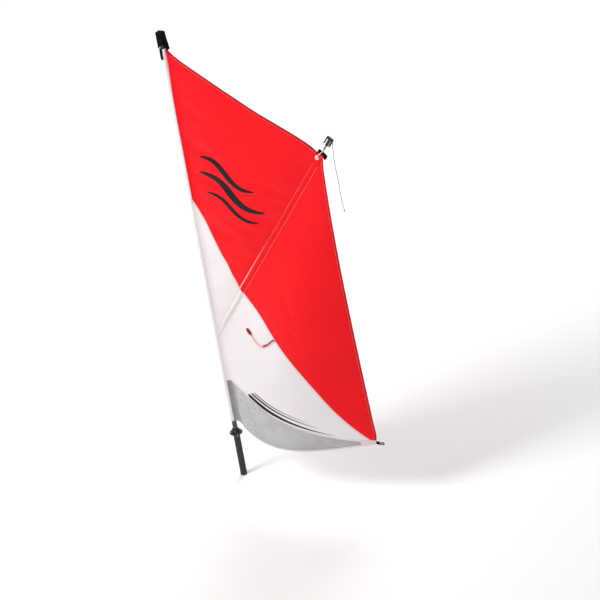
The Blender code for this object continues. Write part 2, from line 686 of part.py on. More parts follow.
def build_telltale():
    """Thin ribbon streaming aft from the patch, with one droop; it stands off the sail behind its root."""
    reach, width, count = 0.193, 0.010, 14

    def edge(side):
        points = []
        for k in range(count + 1):
            t = k / count
            droop = 0.046 * math.sin(math.pi * min(t * 1.08, 1.0))
            points.append((RIBBON_R + reach * t, RIBBON_RISE - droop + 0.028 * t + side * width))
        return points

    cloth("telltale_ribbon", [edge(-0.5), edge(0.0), edge(0.5)], "ribbon_red", body="telltale",
          lift=lambda point: ribbon_lift(point[0]), thickness=0.0008, rim=0.0)


# ---------------------------------------------------------------- batten, pocket and peak
def along(s, p=0.0, y=0.0):
    """World point at batten station s, p to the lower side, y across the sail."""
    return BATTEN_FOOT + BATTEN_DIR * s + BATTEN_SIDE * p + Vector((0, y, 0))


def pocket_section(half, depth, s):
    """Flat oval across the batten: straight faces with rounded edges."""
    r = depth / 2
    points = arc((half - r, 0), r, -90, 90, 6) + arc((r - half, 0), r, 90, 270, 6)
    return [along(s, p, y) for p, y in points]


def pocket_tube(name, start, end, colour):
    outer = [pocket_section(POCKET_HALF - 0.0006, POCKET_DEPTH, s) for s in (start, end)]
    inner = [pocket_section(POCKET_INNER_HALF - 0.0006, POCKET_INNER_DEPTH, s) for s in (start, end)]
    return shell(name, outer, inner, "sail", colour)


def build_pocket(joint_s):
    pocket_tube("pocket_lower", HEEL_S, joint_s - GAP, "cloth_white")
    upper = pocket_tube("pocket_upper", joint_s + GAP, MOUTH_S, "cloth_red")
    eye = along(EYELET_S, EYELET_P)
    hole = revolve("guide_eyelet_hole", [(0, -0.02), (EYELET_BARREL_R + GAP, -0.02),
                                         (EYELET_BARREL_R + GAP, 0.02), (0, 0.02)],
                   "sail", "steel", centre=eye, axis=(0, 1, 0), steps=20)
    cut(upper, hole)
    face = POCKET_DEPTH / 2 + GAP
    revolve("peak_eyelet", [
        (EYELET_BORE_R, -face - 0.0012), (EYELET_BORE_R + 0.0015, -face - 0.0022),
        (EYELET_FLANGE_R - 0.001, -face - 0.0014), (EYELET_FLANGE_R, -face), (EYELET_BARREL_R, -face),
        (EYELET_BARREL_R, face), (EYELET_FLANGE_R, face), (EYELET_FLANGE_R - 0.001, face + 0.0014),
        (EYELET_BORE_R + 0.0015, face + 0.0022), (EYELET_BORE_R, face + 0.0012)],
        "sail", "steel", centre=eye, axis=(0, 1, 0), steps=20)
    behind = face + 0.0004
    corners = ((1.516, -0.026), (1.546, -0.026), (1.546, 0.008),
               (1.540, 0.034), (1.505, 0.034), (1.516, 0.010))
    outline = [along(s, p, behind) for s, p in corners]
    prism("peak_webbing", outline, (0, 0.0022, 0), "sail", "webbing_black")


def build_batten():
    start = HEEL_S + 0.012
    revolve("batten_heel_cap", [(0, HEEL_S + 0.003), (0.0030, HEEL_S + 0.003), (ROD_R, HEEL_S + 0.005),
                                (ROD_R, start - GAP), (0, start - GAP)],
            "batten", "nylon_white", centre=BATTEN_FOOT, axis=BATTEN_DIR, steps=16)
    rod_end = TIP_S - 0.016
    revolve("batten_rod", [(0, start), (ROD_R, start), (ROD_R, rod_end), (0, rod_end)],
            "batten", "rod_black", centre=BATTEN_FOOT, axis=BATTEN_DIR, steps=16)
    build_tip_cleat(rod_end)
    build_lacing()


def build_tip_cleat(rod_end):
    """Three-legged end fitting: a socket for the rod between two swept-back horns."""
    leg_r, outer_p, inner_p = 0.0035, 0.0210, 0.0140
    socket_half, thick = 0.0074, 0.0120
    horn_end, socket_end, bar = TIP_S - 0.0505, TIP_S - 0.058, TIP_S - 0.0130
    mid = (outer_p + inner_p) / 2
    half = [(socket_half, socket_end), (socket_half, bar), (inner_p, bar)]
    half += [(p, s) for p, s in arc((mid, horn_end), leg_r, 180, 360, 6)]
    half += arc((outer_p - 0.007, TIP_S - 0.007), 0.007, 0, 90, 4)
    outline = half + [(-p, s) for p, s in reversed(half)]
    cleat = prism("batten_tip_cleat", [along(s, p, -thick / 2) for p, s in outline], (0, thick, 0),
                  "batten", "plastic_black")
    bevel(cleat, 0.0010)
    bore = revolve("guide_rod_socket", [(0, socket_end - 0.01), (ROD_R + GAP, socket_end - 0.01),
                                        (ROD_R + GAP, rod_end + GAP), (0, rod_end + GAP)],
                   "batten", "steel", centre=BATTEN_FOOT, axis=BATTEN_DIR, steps=16)
    cut(cleat, bore)


def build_lacing():
    """Cord from the cleat down through the peak eyelet and back up behind, then its free tail."""
    out = POCKET_DEPTH / 2 + 0.0022 + CORD_R + 0.0008
    slot = 0.0107
    route = [along(TIP_S - 0.0165, -slot, 0.0), along(TIP_S - 0.040, -slot, 0.0),
             along(TIP_S - 0.075, -slot, -0.004), along(MOUTH_S + 0.010, EYELET_P, -out + 0.001),
             along(EYELET_S + 0.016, EYELET_P, -out), along(EYELET_S + 0.005, EYELET_P, -out),
             along(EYELET_S, EYELET_P, -out + 0.0045), along(EYELET_S, EYELET_P, 0.0),
             along(EYELET_S, EYELET_P, out - 0.0045), along(EYELET_S + 0.005, EYELET_P, out + 0.0004),
             along(EYELET_S + 0.016, EYELET_P + 0.002, out + 0.0012),
             along(MOUTH_S + 0.004, 0.0, out + 0.0012), along(TIP_S - 0.080, 0.006, out),
             along(TIP_S - 0.045, slot, 0.0094), along(TIP_S - 0.0250, slot + 0.001, 0.0088)]
    wire("batten_lacing", smooth_path(route, 0.008), CORD_R, "batten", "cord_white")
    start = along(TIP_S - 0.0255, slot + 0.0066, 0.0092)
    over = along(TIP_S - 0.0290, 0.0240, 0.0082)
    side = along(TIP_S - 0.0330, 0.0268, 0.0)
    down = [(0.0012, -0.0015, 0.022), (-0.0010, -0.0010, 0.060), (-0.0045, 0.0015, 0.110),
            (-0.0035, 0.0030, 0.160), (0.0010, 0.0010, 0.210), (0.0035, -0.0020, 0.260),
            (0.0030, -0.0020, 0.310), (0.0055, 0.0005, 0.350), (0.0080, 0.0010, 0.388)]
    tail = [start, over, side] + [side + Vector((dx, dy, -fall)) for dx, dy, fall in down]
    wire("lacing_tail", smooth_path(tail, 0.010), CORD_R, "batten", "cord_white")
    end = tail[-1]
    revolve("tail_knot", [(0, -0.0105), (0.0022, -0.0100), (0.0042, -0.0072), (0.0044, -0.0045),
                          (0.0034, -0.0015), (0.0020, -GAP), (0, -GAP)],
            "batten", "cord_white", centre=end, steps=12)


# ---------------------------------------------------------------- clew ring and snap hook
def build_clew():
    tab_half, start = 0.0080, CLEW_R + 0.0012
    bar = (RING_BAR_X, 0.0)
    outline = [(start, 0.0016), (start, -0.0016)] + arc(bar, 0.0044, -150, 150, 12)
    tab = prism("clew_webbing", [(x, y, CLEW_Z - tab_half) for x, y in outline], (0, 0, 2 * tab_half),
                "sail", "webbing_black")
    loop = revolve("guide_tab_loop", [(0, -0.02), (0.0027, -0.02), (0.0027, 0.02), (0, 0.02)],
                   "sail", "steel", centre=(RING_BAR_X, 0, CLEW_Z), steps=16)
    cut(tab, loop)
    corner = 0.004
    bow = [(corner + (RING_BOW - corner) * x, RING_HALF * z) for x, z in arc((0, 0), 1.0, -75, 75, 10)]
    flat = arc((corner, -RING_HALF + corner), corner, 180, 270, 3) + bow
    flat += arc((corner, RING_HALF - corner), corner, 90, 180, 3)
    flat += [(0.0, RING_HALF * 0.6 * (1 - 2 * k / 3)) for k in range(0, 4)]
    wire("clew_ring", [(RING_BAR_X + x, 0.0, CLEW_Z + z) for x, z in flat], RING_WIRE_R,
         "ring", "steel", closed=True)


def hook_point(u, v, z=0.0):
    return Vector((HOOK_FRONT_X + u, v, CLEW_Z + z))


def build_hook():
    """Snap hook: an open oval with a sprung gate on its -Y side and a swivelling sheet eye."""
    outer_r, inner_r = HOOK_WIDTH_R, HOOK_WIDTH_R - HOOK_WALL
    front, aft = (outer_r, 0.0), (outer_r + HOOK_STRAIGHT, 0.0)
    outline = arc(aft, outer_r, -90, 90, 10) + arc(front, outer_r, 90, 270, 10)
    outline += arc(front, inner_r, 270, 90, 10) + arc(aft, inner_r, 90, -90, 10)
    body = prism("hook_body", [hook_point(u, v, -HOOK_THICK / 2) for u, v in outline],
                 (0, 0, HOOK_THICK), "hook", "plastic_black")
    bore = revolve("guide_swivel_bore", [(0, 0.020), (0.0023, 0.020), (0.0023, 0.04), (0, 0.04)],
                   "hook", "steel", centre=hook_point(0, 0), axis=(1, 0, 0), steps=16)
    cut(body, bore)

    half = 0.0018
    pin_u, tip_u = GATE_PIVOT.x - HOOK_FRONT_X, outer_r + 0.0003
    mid_v = GATE_PIVOT.y
    outline = arc((pin_u, mid_v), half, -90, 90, 6) + [(tip_u, mid_v + half), (tip_u, mid_v - half)]
    prism("hook_gate", [hook_point(u, v, -0.0022) for u, v in outline], (0, 0, 0.0044),
          "gate", "plastic_black")

    eye_u, eye_r, hole_r = 0.0346, 0.0058, 0.0032
    shank = revolve("hook_swivel_eye", [
        (0, 0.0206), (0.0034, 0.0206), (0.0034, 0.0220), (0.0019, 0.0220), (0.0019, 0.0285),
        (0.0038, 0.0285), (0.0038, 0.0296), (0.0026, 0.0304), (0, 0.0304)],
        "swivel", "steel", centre=hook_point(0, 0), axis=(1, 0, 0), steps=16)
    eye = revolve("guide_swivel_ring",
                  [(hole_r, -0.0017), (eye_r, -0.0017), (eye_r, 0.0017), (hole_r, 0.0017)],
                  "swivel", "steel", centre=hook_point(eye_u, 0), axis=(0, 1, 0), steps=20)
    union = shank.modifiers.new("eye", "BOOLEAN")
    union.operation = "UNION"
    union.object = eye
    eye.hide_render = True
    eye.display_type = "WIRE"


clear_scene()
MATERIALS = make_materials()
EMPTIES = make_empties()
build_step()
build_lower_mast()
build_upper_mast()
build_sleeve()
build_head_cap()
JOINT_S = build_panels()
build_telltale()
build_pocket(JOINT_S)
build_batten()
build_clew()
build_hook()
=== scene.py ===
import json
import math
from itertools import accumulate

import bmesh
import bpy
from mathutils import Matrix, Vector
from mathutils.bvhtree import BVHTree

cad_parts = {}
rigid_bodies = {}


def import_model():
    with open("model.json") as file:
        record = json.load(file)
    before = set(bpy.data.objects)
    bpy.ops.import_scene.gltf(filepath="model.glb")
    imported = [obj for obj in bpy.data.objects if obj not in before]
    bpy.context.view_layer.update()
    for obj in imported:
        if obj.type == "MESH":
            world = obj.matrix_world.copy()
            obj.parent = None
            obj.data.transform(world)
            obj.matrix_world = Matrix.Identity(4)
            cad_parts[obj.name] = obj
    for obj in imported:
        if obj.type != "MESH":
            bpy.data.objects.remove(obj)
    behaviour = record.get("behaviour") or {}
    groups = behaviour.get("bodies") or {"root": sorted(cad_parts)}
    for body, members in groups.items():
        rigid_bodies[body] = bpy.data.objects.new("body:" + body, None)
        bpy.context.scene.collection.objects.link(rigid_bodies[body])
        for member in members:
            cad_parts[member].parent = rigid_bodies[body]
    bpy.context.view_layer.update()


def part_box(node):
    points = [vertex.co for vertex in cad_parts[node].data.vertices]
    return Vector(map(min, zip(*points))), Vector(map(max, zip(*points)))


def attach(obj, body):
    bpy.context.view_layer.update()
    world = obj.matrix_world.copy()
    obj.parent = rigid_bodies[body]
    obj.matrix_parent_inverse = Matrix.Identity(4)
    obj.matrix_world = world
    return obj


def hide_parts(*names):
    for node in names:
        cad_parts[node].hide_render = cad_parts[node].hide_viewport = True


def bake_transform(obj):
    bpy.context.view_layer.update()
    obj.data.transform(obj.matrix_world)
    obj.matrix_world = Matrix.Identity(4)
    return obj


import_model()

# Sail rig of a small boat.  Metres, +Z up the mast, +X from the mast to the clew; the sail fills to -Y.

# ---- dimensions shared with the CAD
TACK_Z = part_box("luff_sleeve")[0].z
LUFF_LENGTH = 2.320
MAST_TOP_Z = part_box("mast_top_plug")[1].z
SLEEVE_R, SLEEVE_HEAD_R, SLEEVE_FLARE_START = 0.0158, 0.0200, 1.80
LUFF_R = 0.0358
CLEW_R, CLEW_RISE = 0.926, 0.012
PEAK_R, PEAK_RISE = 0.8845, 1.800
HEAD_SLOPE, HEAD_HOLLOW = 0.582, 0.012
HEAD_LIFT, HEAD_FULLNESS = 0.0065, 0.0125
LEECH_HOLLOW, LEECH_FOOT_R, CORNER_EASE = 0.018, 0.9395, 0.030
FOOT_ROUND, FOOT_SKEW = 0.067, 0.60
FOOT_BELLY, HEAD_BELLY, BELLY_REACH = 0.100, 0.022, 0.28
BATTEN_RISE, BATTEN_SLOPE = 0.570, 1.427
POCKET_HALF = 0.0180
MOUTH_S, TIP_S = 1.530, 1.660
POCKET_END_S = MOUTH_S - 0.004
EYELET_S, EYELET_P = 1.497, -0.0095
CORD_R = 0.0020
SEAM_START, SEAM_PULL, SEAM_CROSS = (0.010, 1.440), (0.1625, 1.0765), (0.215, 0.885)
SEAM_LOW_PULLS, SEAM_END, SEAM_SPLIT = ((0.703, 0.377), (0.644, 0.286)), (0.915, 0.022), 0.4
WINDOW_LUFF_RISE, WINDOW_END_RISE, WINDOW_SAG = 0.272, 0.022, 0.048
PATCH_RISE, WINDOW_CLEW_R, FOOT_CLEW_R = 0.040, 0.872, 0.862
CLEW_Z = TACK_Z + 0.022
TELLTALE_R, TELLTALE_RISE = 0.229, 0.634
BATTEN_DIR = Vector((1.0, 0.0, BATTEN_SLOPE)).normalized()
BATTEN_SIDE = Vector((BATTEN_DIR.z, 0.0, -BATTEN_DIR.x))
BATTEN_FOOT = Vector((0.0, 0.0, TACK_Z + BATTEN_RISE))

CLOTH = 0.0004                  # thickness of one layer of sailcloth
LAP = 0.010                     # how far one cloth goes under the next at a seam
BEHIND = 0.0006                 # how far behind the next cloth it lies there
LEECH_INSET = 0.0006            # how far the cloth stops short of its hem's folded edge
HOOD_HALF_X, HOOD_HALF_Y = 0.0200, 0.0190
LUFF_EASE = 0.024               # how quickly the cloth leaves the sleeve's side
HEAD_CORNER_RISE = 2.352        # the sail's head corner, tucked under the mast's hood
SETTLE_FRAMES = 50              # length of the cloth simulation
MOST_SHIFT = 0.009              # how far the simulation may carry the cloth from its designed shape
HINGE_EASE = 0.30               # nearer than this to the tell-tale's hinge it carries the cloth less far
LUFF_GRIP, BATTEN_GRIP, CLEW_GRIP = 0.004, 0.014, 0.045    # how near these it holds the cloth still
WIND = (0.0, -0.9, -0.5)        # stands in for gravity while the sail fills
CLOTH_SETTINGS = {
    "vertex_group_mass": "held", "quality": 6, "mass": 0.12, "tension_stiffness": 60.0,
    "compression_stiffness": 60.0, "shear_stiffness": 25.0, "bending_stiffness": 3.0, "air_damping": 3.0,
    "shrink_min": -0.0035}


# ---- scene helpers, camera, floor and lights
def link_object(name, data):
    """A new object in the scene."""
    obj = bpy.data.objects.new(name, data)
    bpy.context.collection.objects.link(obj)
    return obj


def new_mesh(name, verts, faces):
    mesh = bpy.data.meshes.new(name)
    mesh.from_pydata(verts, [], faces)
    return mesh


def make_camera():
    """Long lens from the clew's side, above; the mast leans a little to the left in the picture."""
    azimuth, elevation, roll = math.radians(34.6), math.radians(30.0), math.radians(9.917)
    target, distance = Vector((0.58679, 0.0, 1.24907)), 18.018
    back = Vector((math.sin(azimuth) * math.cos(elevation), -math.cos(azimuth) * math.cos(elevation),
                   math.sin(elevation)))
    right = Vector((math.cos(azimuth), math.sin(azimuth), 0.0))
    up = back.cross(right)
    side = right * math.cos(roll) - up * math.sin(roll)
    top = right * math.sin(roll) + up * math.cos(roll)
    data = bpy.data.cameras.new("camera")
    data.lens, data.sensor_width, data.clip_end = 200.0, 36.0, 200.0
    camera = link_object("camera", data)
    place = target + back * distance
    camera.matrix_world = Matrix((*zip(side, top, back, place), (0, 0, 0, 1)))
    bpy.context.scene.camera = camera


def area_light(name, place, aim, size, power, colour=(1.0, 1.0, 1.0)):
    data = bpy.data.lights.new(name, "AREA")
    data.shape = "DISK"
    data.size, data.energy, data.color = size, power, colour
    light = link_object(name, data)
    light.location = place
    light.rotation_euler = (Vector(aim) - Vector(place)).to_track_quat("-Z", "Y").to_euler()


def make_floor():
    """A wide pale disc just under the mast step."""
    mat, shader = principled("floor_paper", (0.93, 0.93, 0.93), 0.9)
    tune(shader, Specular_IOR_Level=0.1)
    radii, steps = (40.0, 8.0, 2.0, 0.5), 64
    verts = [(*place, 0.0) for radius in radii for place in arc((0, 0), radius, 0, 360, steps)[:-1]]
    faces = quads(len(radii), steps, wrap=True)
    faces.append(tuple(range(len(verts) - steps, len(verts))))
    mesh = new_mesh("floor", verts, faces)
    mesh.materials.append(mat)
    floor = link_object("floor", mesh)
    floor.location = (0.0, 0.0, -0.0015)


def make_studio():
    """White surroundings; a key light from the luff's side, a fill, a back light, one on the floor behind."""
    world = bpy.data.worlds.new("studio")
    world.use_nodes = True
    tune(world.node_tree.nodes["Background"], Color=(0.97, 0.98, 1.0, 1.0), Strength=0.42)
    bpy.context.scene.world = world
    bpy.context.scene.view_settings.view_transform = "Standard"
    middle = (0.45, 0.0, 1.35)
    area_light("key_light", (-1.7, -3.0, 4.7), middle, 2.0, 210, (1.0, 0.985, 0.965))
    area_light("fill_light", (5.0, -4.0, 2.6), middle, 4.0, 24, (0.96, 0.98, 1.0))
    area_light("back_light", (1.5, 5.5, 4.0), middle, 3.5, 60)
    area_light("overhead_light", (-2.0, 9.0, 9.0), (-3.0, 9.0, 0.0), 8.0, 900)


# ---- materials
def tune(shader, **inputs):
    """Set a node's inputs by socket name, with _ for a space."""
    for key, value in inputs.items():
        shader.inputs[key.replace("_", " ")].default_value = value


def principled(name, colour, roughness, metallic=0.0):
    mat = bpy.data.materials.new(name)
    mat.use_nodes = True
    shader = mat.node_tree.nodes["Principled BSDF"]
    tune(shader, Base_Color=(*colour, 1.0), Roughness=roughness, Metallic=metallic)
    mat.diffuse_color = (*colour, 1.0)
    return mat, shader


def node(mat, kind, **inputs):
    made = mat.node_tree.nodes.new(kind)
    tune(made, **inputs)
    return made


def link(mat, source, target):
    mat.node_tree.links.new(source, target)


def noise_value(mat, scale, detail, roughness=0.5, stretch=(1.0, 1.0, 1.0)):
    """Noise over the piece's own coordinates, in metres."""
    where = node(mat, "ShaderNodeTexCoord")
    mapping = node(mat, "ShaderNodeMapping", Scale=stretch)
    made = node(mat, "ShaderNodeTexNoise", Scale=scale, Detail=detail, Roughness=roughness)
    link(mat, where.outputs["Object"], mapping.inputs["Vector"])
    link(mat, mapping.outputs["Vector"], made.inputs["Vector"])
    return made.outputs["Fac"]


def ramp(mat, value, low, high):
    """The value mapped from low..high to 0..1."""
    made = node(mat, "ShaderNodeMapRange", From_Min=low, From_Max=high)
    link(mat, value, made.inputs["Value"])
    return made.outputs["Result"]


def mixed_colour(mat, factor, first, second):
    """Two colours mixed by a factor.  Each is a colour tuple or an output."""
    made = node(mat, "ShaderNodeMix")
    made.data_type = "RGBA"
    link(mat, factor, made.inputs[0])
    for socket, colour in ((made.inputs[6], first), (made.inputs[7], second)):
        if isinstance(colour, tuple):
            socket.default_value = (*colour, 1.0)
        else:
            link(mat, colour, socket)
    return made.outputs[2]


def paint(mat, shader, factor, first, second):
    """Colour the shader with two colours mixed by a factor."""
    link(mat, mixed_colour(mat, factor, first, second), shader.inputs["Base Color"])


def multiply(mat, *values):
    """The product of two values, each a number or an output."""
    made = node(mat, "ShaderNodeMath")
    made.operation = "MULTIPLY"
    for socket, value in zip(made.inputs, values):
        if isinstance(value, float):
            socket.default_value = value
        else:
            link(mat, value, socket)
    return made.outputs[0]


def roughen(mat, shader, value, low, high):
    made = node(mat, "ShaderNodeMapRange", To_Min=low, To_Max=high)
    link(mat, value, made.inputs["Value"])
    link(mat, made.outputs["Result"], shader.inputs["Roughness"])


def bump(mat, shader, height, distance, strength, before=None):
    made = node(mat, "ShaderNodeBump", Strength=strength, Distance=distance)
    link(mat, height, made.inputs["Height"])
    if before is not None:
        link(mat, before, made.inputs["Normal"])
    link(mat, made.outputs["Normal"], shader.inputs["Normal"])
    return made.outputs["Normal"]


def bands(mat, pitch, direction, coordinate="Object"):
    """Sine bands of this pitch in metres along an axis of the piece's coordinates."""
    where = node(mat, "ShaderNodeTexCoord")
    wave = node(mat, "ShaderNodeTexWave", Scale=math.tau / 20 / pitch)
    wave.bands_direction = direction
    link(mat, where.outputs[coordinate], wave.inputs["Vector"])
    return wave.outputs["Fac"]


def sailcloth(name, colour, shade, sheen, seam_and_glare_colour=None):
    """Fine plain-woven polyester: faint threads, soft creases left from rolling, slight sheen."""
    mat, shader = principled(name, colour, 0.5)
    mixed = mixed_colour(mat, ramp(mat, noise_value(mat, 3.2, 4.0, 0.55), 0.30, 0.70), colour, shade)
    # On white cloth the second colour is red cloth showing through at a seam; on the tell-tale's ribbon it is
    # a painted glare.
    if seam_and_glare_colour:
        lap_and_glare = node(mat, "ShaderNodeAttribute")
        lap_and_glare.attribute_name = "lap_and_glare"
        mixed = mixed_colour(mat, lap_and_glare.outputs["Fac"], mixed, seam_and_glare_colour)
    link(mat, mixed, shader.inputs["Base Color"])
    weave = multiply(mat, bands(mat, 0.0011, "X"), bands(mat, 0.0011, "Z"))
    creases = noise_value(mat, 26.0, 5.0, 0.62, (1.0, 1.0, 0.45))
    roughen(mat, shader, noise_value(mat, 40.0, 2.0), 0.40, 0.58)
    bump(mat, shader, creases, 0.0022, 0.30, before=bump(mat, shader, weave, 0.00012, 0.35))
    tune(shader, Sheen_Weight=sheen, Sheen_Roughness=0.35, Specular_IOR_Level=0.14)
    return mat


def webbing(name, colour, worn):
    """Heavy woven strap: ribs along it, a twill across, lighter where it rubs."""
    mat, shader = principled(name, colour, 0.75)
    paint(mat, shader, ramp(mat, noise_value(mat, 60.0, 5.0, 0.7), 0.52, 0.78), colour, worn)
    ribs = multiply(mat, bands(mat, 0.0016, "Z", "UV"), bands(mat, 0.00128, "X", "UV"))
    roughen(mat, shader, ribs, 0.88, 0.66)
    bump(mat, shader, ribs, 0.0006, 0.8)
    tune(shader, Specular_IOR_Level=0.10)
    return mat


def vinyl(name, colour, clear, hazy, alpha):
    """Clear flexible window film with soft waves and faint haze; its grey is partly the film's slight tint
    and partly painted shade of what shows through it.
    """
    mat, shader = principled(name, colour, 0.12)
    haze = ramp(mat, noise_value(mat, 9.0, 4.0, 0.6), 0.35, 0.75)
    paint(mat, shader, haze, clear, hazy)
    bump(mat, shader, noise_value(mat, 7.0, 2.0, 0.5, (1.0, 1.0, 0.6)), 0.006, 0.5)
    roughen(mat, shader, haze, 0.08, 0.20)
    tune(shader, Alpha=alpha, Coat_Weight=0.4)
    return mat


def moulded(name, colour, roughness, grain, scale, edge=(0.10, 0.10, 0.10)):
    """Moulded or turned plastic: fine grain, a little dust and scuffing."""
    mat, shader = principled(name, colour, roughness)
    paint(mat, shader, ramp(mat, noise_value(mat, 45.0, 6.0, 0.7), 0.58, 0.80), colour, edge)
    roughen(mat, shader, noise_value(mat, 30.0, 4.0), roughness - 0.08, roughness + 0.14)
    bump(mat, shader, noise_value(mat, scale, 2.0), grain, 0.6)
    return mat


def tube_finish(name, colour):
    """Black pultruded glass-fibre tube: lengthwise streaks under a thin gloss coat, scuffed rings."""
    mat, shader = principled(name, colour, 0.30)
    streak = noise_value(mat, 60.0, 4.0, 0.6, (6.0, 6.0, 0.25))
    paint(mat, shader, ramp(mat, streak, 0.35, 0.75), colour, (0.016, 0.016, 0.018))
    roughen(mat, shader, noise_value(mat, 30.0, 3.0, 0.6, (0.3, 0.3, 6.0)), 0.20, 0.46)
    bump(mat, shader, streak, 0.0002, 0.25)
    tune(shader, Coat_Weight=0.35, Coat_Roughness=0.12)
    return mat


def metal(name, colour, roughness, polish):
    """Metal with fine brushed lines and slight tarnish; polish is how strongly the lines stand out."""
    mat, shader = principled(name, colour, roughness, 1.0)
    paint(mat, shader, ramp(mat, noise_value(mat, 160.0, 4.0, 0.6), 0.45, 0.80), colour, darker(colour, 0.72))
    lines = noise_value(mat, 500.0, 3.0, 0.5, (1.0, 1.0, 12.0))
    roughen(mat, shader, lines, roughness - 0.06, roughness + 0.12)
    bump(mat, shader, lines, 0.00003, polish)
    return mat


def darker(colour, share):
    return tuple(part * share for part in colour)


def braid(name, colour, fleck):
    """Braided cord, with a tracer strand in another colour wound through it."""
    mat, shader = principled(name, colour, 0.75)
    tracer = ramp(mat, bands(mat, 0.0060, "DIAGONAL", "UV"), 0.72, 0.80)
    paint(mat, shader, multiply(mat, tracer, 0.85), colour, fleck)
    roughen(mat, shader, noise_value(mat, 900.0, 2.0), 0.62, 0.86)
    bump(mat, shader, noise_value(mat, 2400.0, 2.0), 0.00012, 0.7)
    tune(shader, Sheen_Weight=0.3)
    return mat


def thread(name, colour):
    mat, shader = principled(name, colour, 0.6)
    paint(mat, shader, noise_value(mat, 400.0, 2.0), colour, darker(colour, 0.8))
    bump(mat, shader, bands(mat, 0.0005, "X"), 0.0001, 0.5)
    return mat


FINISHES = {
    "red": (sailcloth, "sailcloth_red", (0.86, 0.004, 0.009), (0.78, 0.002, 0.009), 0.02),
    "red_hem": (sailcloth, "sailcloth_red_double", (0.50, 0.003, 0.012), (0.42, 0.002, 0.010), 0.02),
    # The white, sleeve and foot-tape cloths have a slight pink tint: a painted reflection of red light.
    "white": (sailcloth, "sailcloth_white", (0.78, 0.735, 0.742), (0.73, 0.688, 0.697), 0.08,
              (0.90, 0.50, 0.48)),
    "white_patch": (sailcloth, "sailcloth_white_layers", (0.74, 0.66, 0.67), (0.66, 0.55, 0.57), 0.08),
    "sleeve": (sailcloth, "sleeve_cloth", (0.76, 0.72, 0.725), (0.71, 0.67, 0.675), 0.08),
    "foot_tape": (sailcloth, "foot_tape_cloth", (0.66, 0.62, 0.63), (0.60, 0.56, 0.57), 0.08),
    "tell_patch": (sailcloth, "telltale_patch_cloth", (0.30, 0.003, 0.012), (0.24, 0.002, 0.010), 0.04),
    # The ribbon's pale pink second colour is a painted glare on its twisted near half.
    "ribbon": (sailcloth, "telltale_ribbon_cloth", (0.32, 0.004, 0.014), (0.26, 0.003, 0.012), 0.06,
               (0.88, 0.42, 0.42)),
    "emblem": (sailcloth, "printed_black", (0.008, 0.007, 0.008), (0.013, 0.011, 0.012), 0.0),
    # The window's greys are partly the film's tint and partly painted shade of what shows through it.
    "window": (vinyl, "window_vinyl", (0.31, 0.31, 0.33), (0.28, 0.28, 0.30), (0.40, 0.40, 0.42), 0.58),
    "webbing": (webbing, "black_webbing", (0.0020, 0.0020, 0.0022), (0.006, 0.006, 0.0065)),
    "mast": (tube_finish, "mast_tube_black", (0.005, 0.005, 0.006)),
    "rod": (tube_finish, "batten_rod_black", (0.006, 0.006, 0.007)),
    "cleat": (moulded, "cleat_nylon", (0.004, 0.004, 0.005), 0.46, 0.00008, 900.0, (0.012, 0.012, 0.012)),
    "step": (moulded, "step_nylon", (0.007, 0.007, 0.008), 0.50, 0.0002, 520.0, (0.03, 0.03, 0.03)),
    "bush": (moulded, "bush_acetal", (0.022, 0.022, 0.024), 0.38, 0.00005, 300.0),
    "nylon": (moulded, "turned_nylon", (0.70, 0.69, 0.65), 0.50, 0.00005, 300.0, (0.55, 0.54, 0.50)),
    "rubber": (moulded, "seal_rubber", (0.020, 0.020, 0.020), 0.80, 0.0002, 1200.0),
    "steel": (metal, "stainless_steel", (0.62, 0.62, 0.63), 0.24, 0.6),
    "eyelet": (metal, "plated_brass", (0.80, 0.76, 0.74), 0.20, 0.3),
    "cord": (braid, "braided_cord", (0.28, 0.28, 0.28), (0.05, 0.05, 0.055)),
    "lacing": (braid, "lacing_cord", (0.86, 0.80, 0.79), (0.50, 0.46, 0.46)),
    "pale_thread": (thread, "pale_thread", (0.90, 0.42, 0.42)),
    "white_thread": (thread, "white_thread", (0.86, 0.78, 0.78))}
MAT = {}


def make_materials():
    for key, (make, *look) in FINISHES.items():
        MAT[key] = make(*look)


# ---- sail surface, as in the CAD
def clamp(value, low=0.0, high=1.0):
    return min(max(value, low), high)


def smooth(t):
    t = clamp(t)
    return t * t * (3 - 2 * t)


def lerp(a, b, t):
    return tuple(p + (q - p) * t for p, q in zip(a, b))


def leech(t):
    r, z = lerp((LEECH_FOOT_R, CLEW_RISE), (PEAK_R, PEAK_RISE), t)
    corner = (LEECH_FOOT_R - CLEW_R) * math.exp(-max(z - CLEW_RISE - 0.022, 0.0) / CORNER_EASE)
    return r - corner - LEECH_HOLLOW * 4 * t * (1 - t) * (0.5 + t), z


def leech_r(z):
    return leech(clamp((z - CLEW_RISE) / (PEAK_RISE - CLEW_RISE)))[0]


def foot(t):
    r, z = lerp((LUFF_R, 0.0), (CLEW_R, CLEW_RISE), t)
    return r, z - FOOT_ROUND * 4 * t * (1 - t) * (1 + FOOT_SKEW - 2 * FOOT_SKEW * t)


def head_z(r):
    t = clamp((r - LUFF_R) / (PEAK_R - LUFF_R))
    full = HEAD_LIFT * smooth(t / 0.05) + HEAD_FULLNESS * smooth((t - 0.52) / 0.32)
    return (LUFF_LENGTH - HEAD_SLOPE * (r - LUFF_R) - HEAD_HOLLOW * 4 * t * (1 - t)
            + full * smooth((1 - t) / 0.12))


def bezier(points, t):
    while len(points) > 1:
        points = [lerp(a, b, t) for a, b in zip(points, points[1:])]
    return points[0]


def seam(t):
    """Where red meets white, luff (t=0) to clew (t=1); it bends where it crosses the batten."""
    if t < SEAM_SPLIT:
        return bezier((SEAM_START, SEAM_PULL, SEAM_CROSS), t / SEAM_SPLIT)
    return bezier((SEAM_CROSS, *SEAM_LOW_PULLS, SEAM_END), (t - SEAM_SPLIT) / (1 - SEAM_SPLIT))


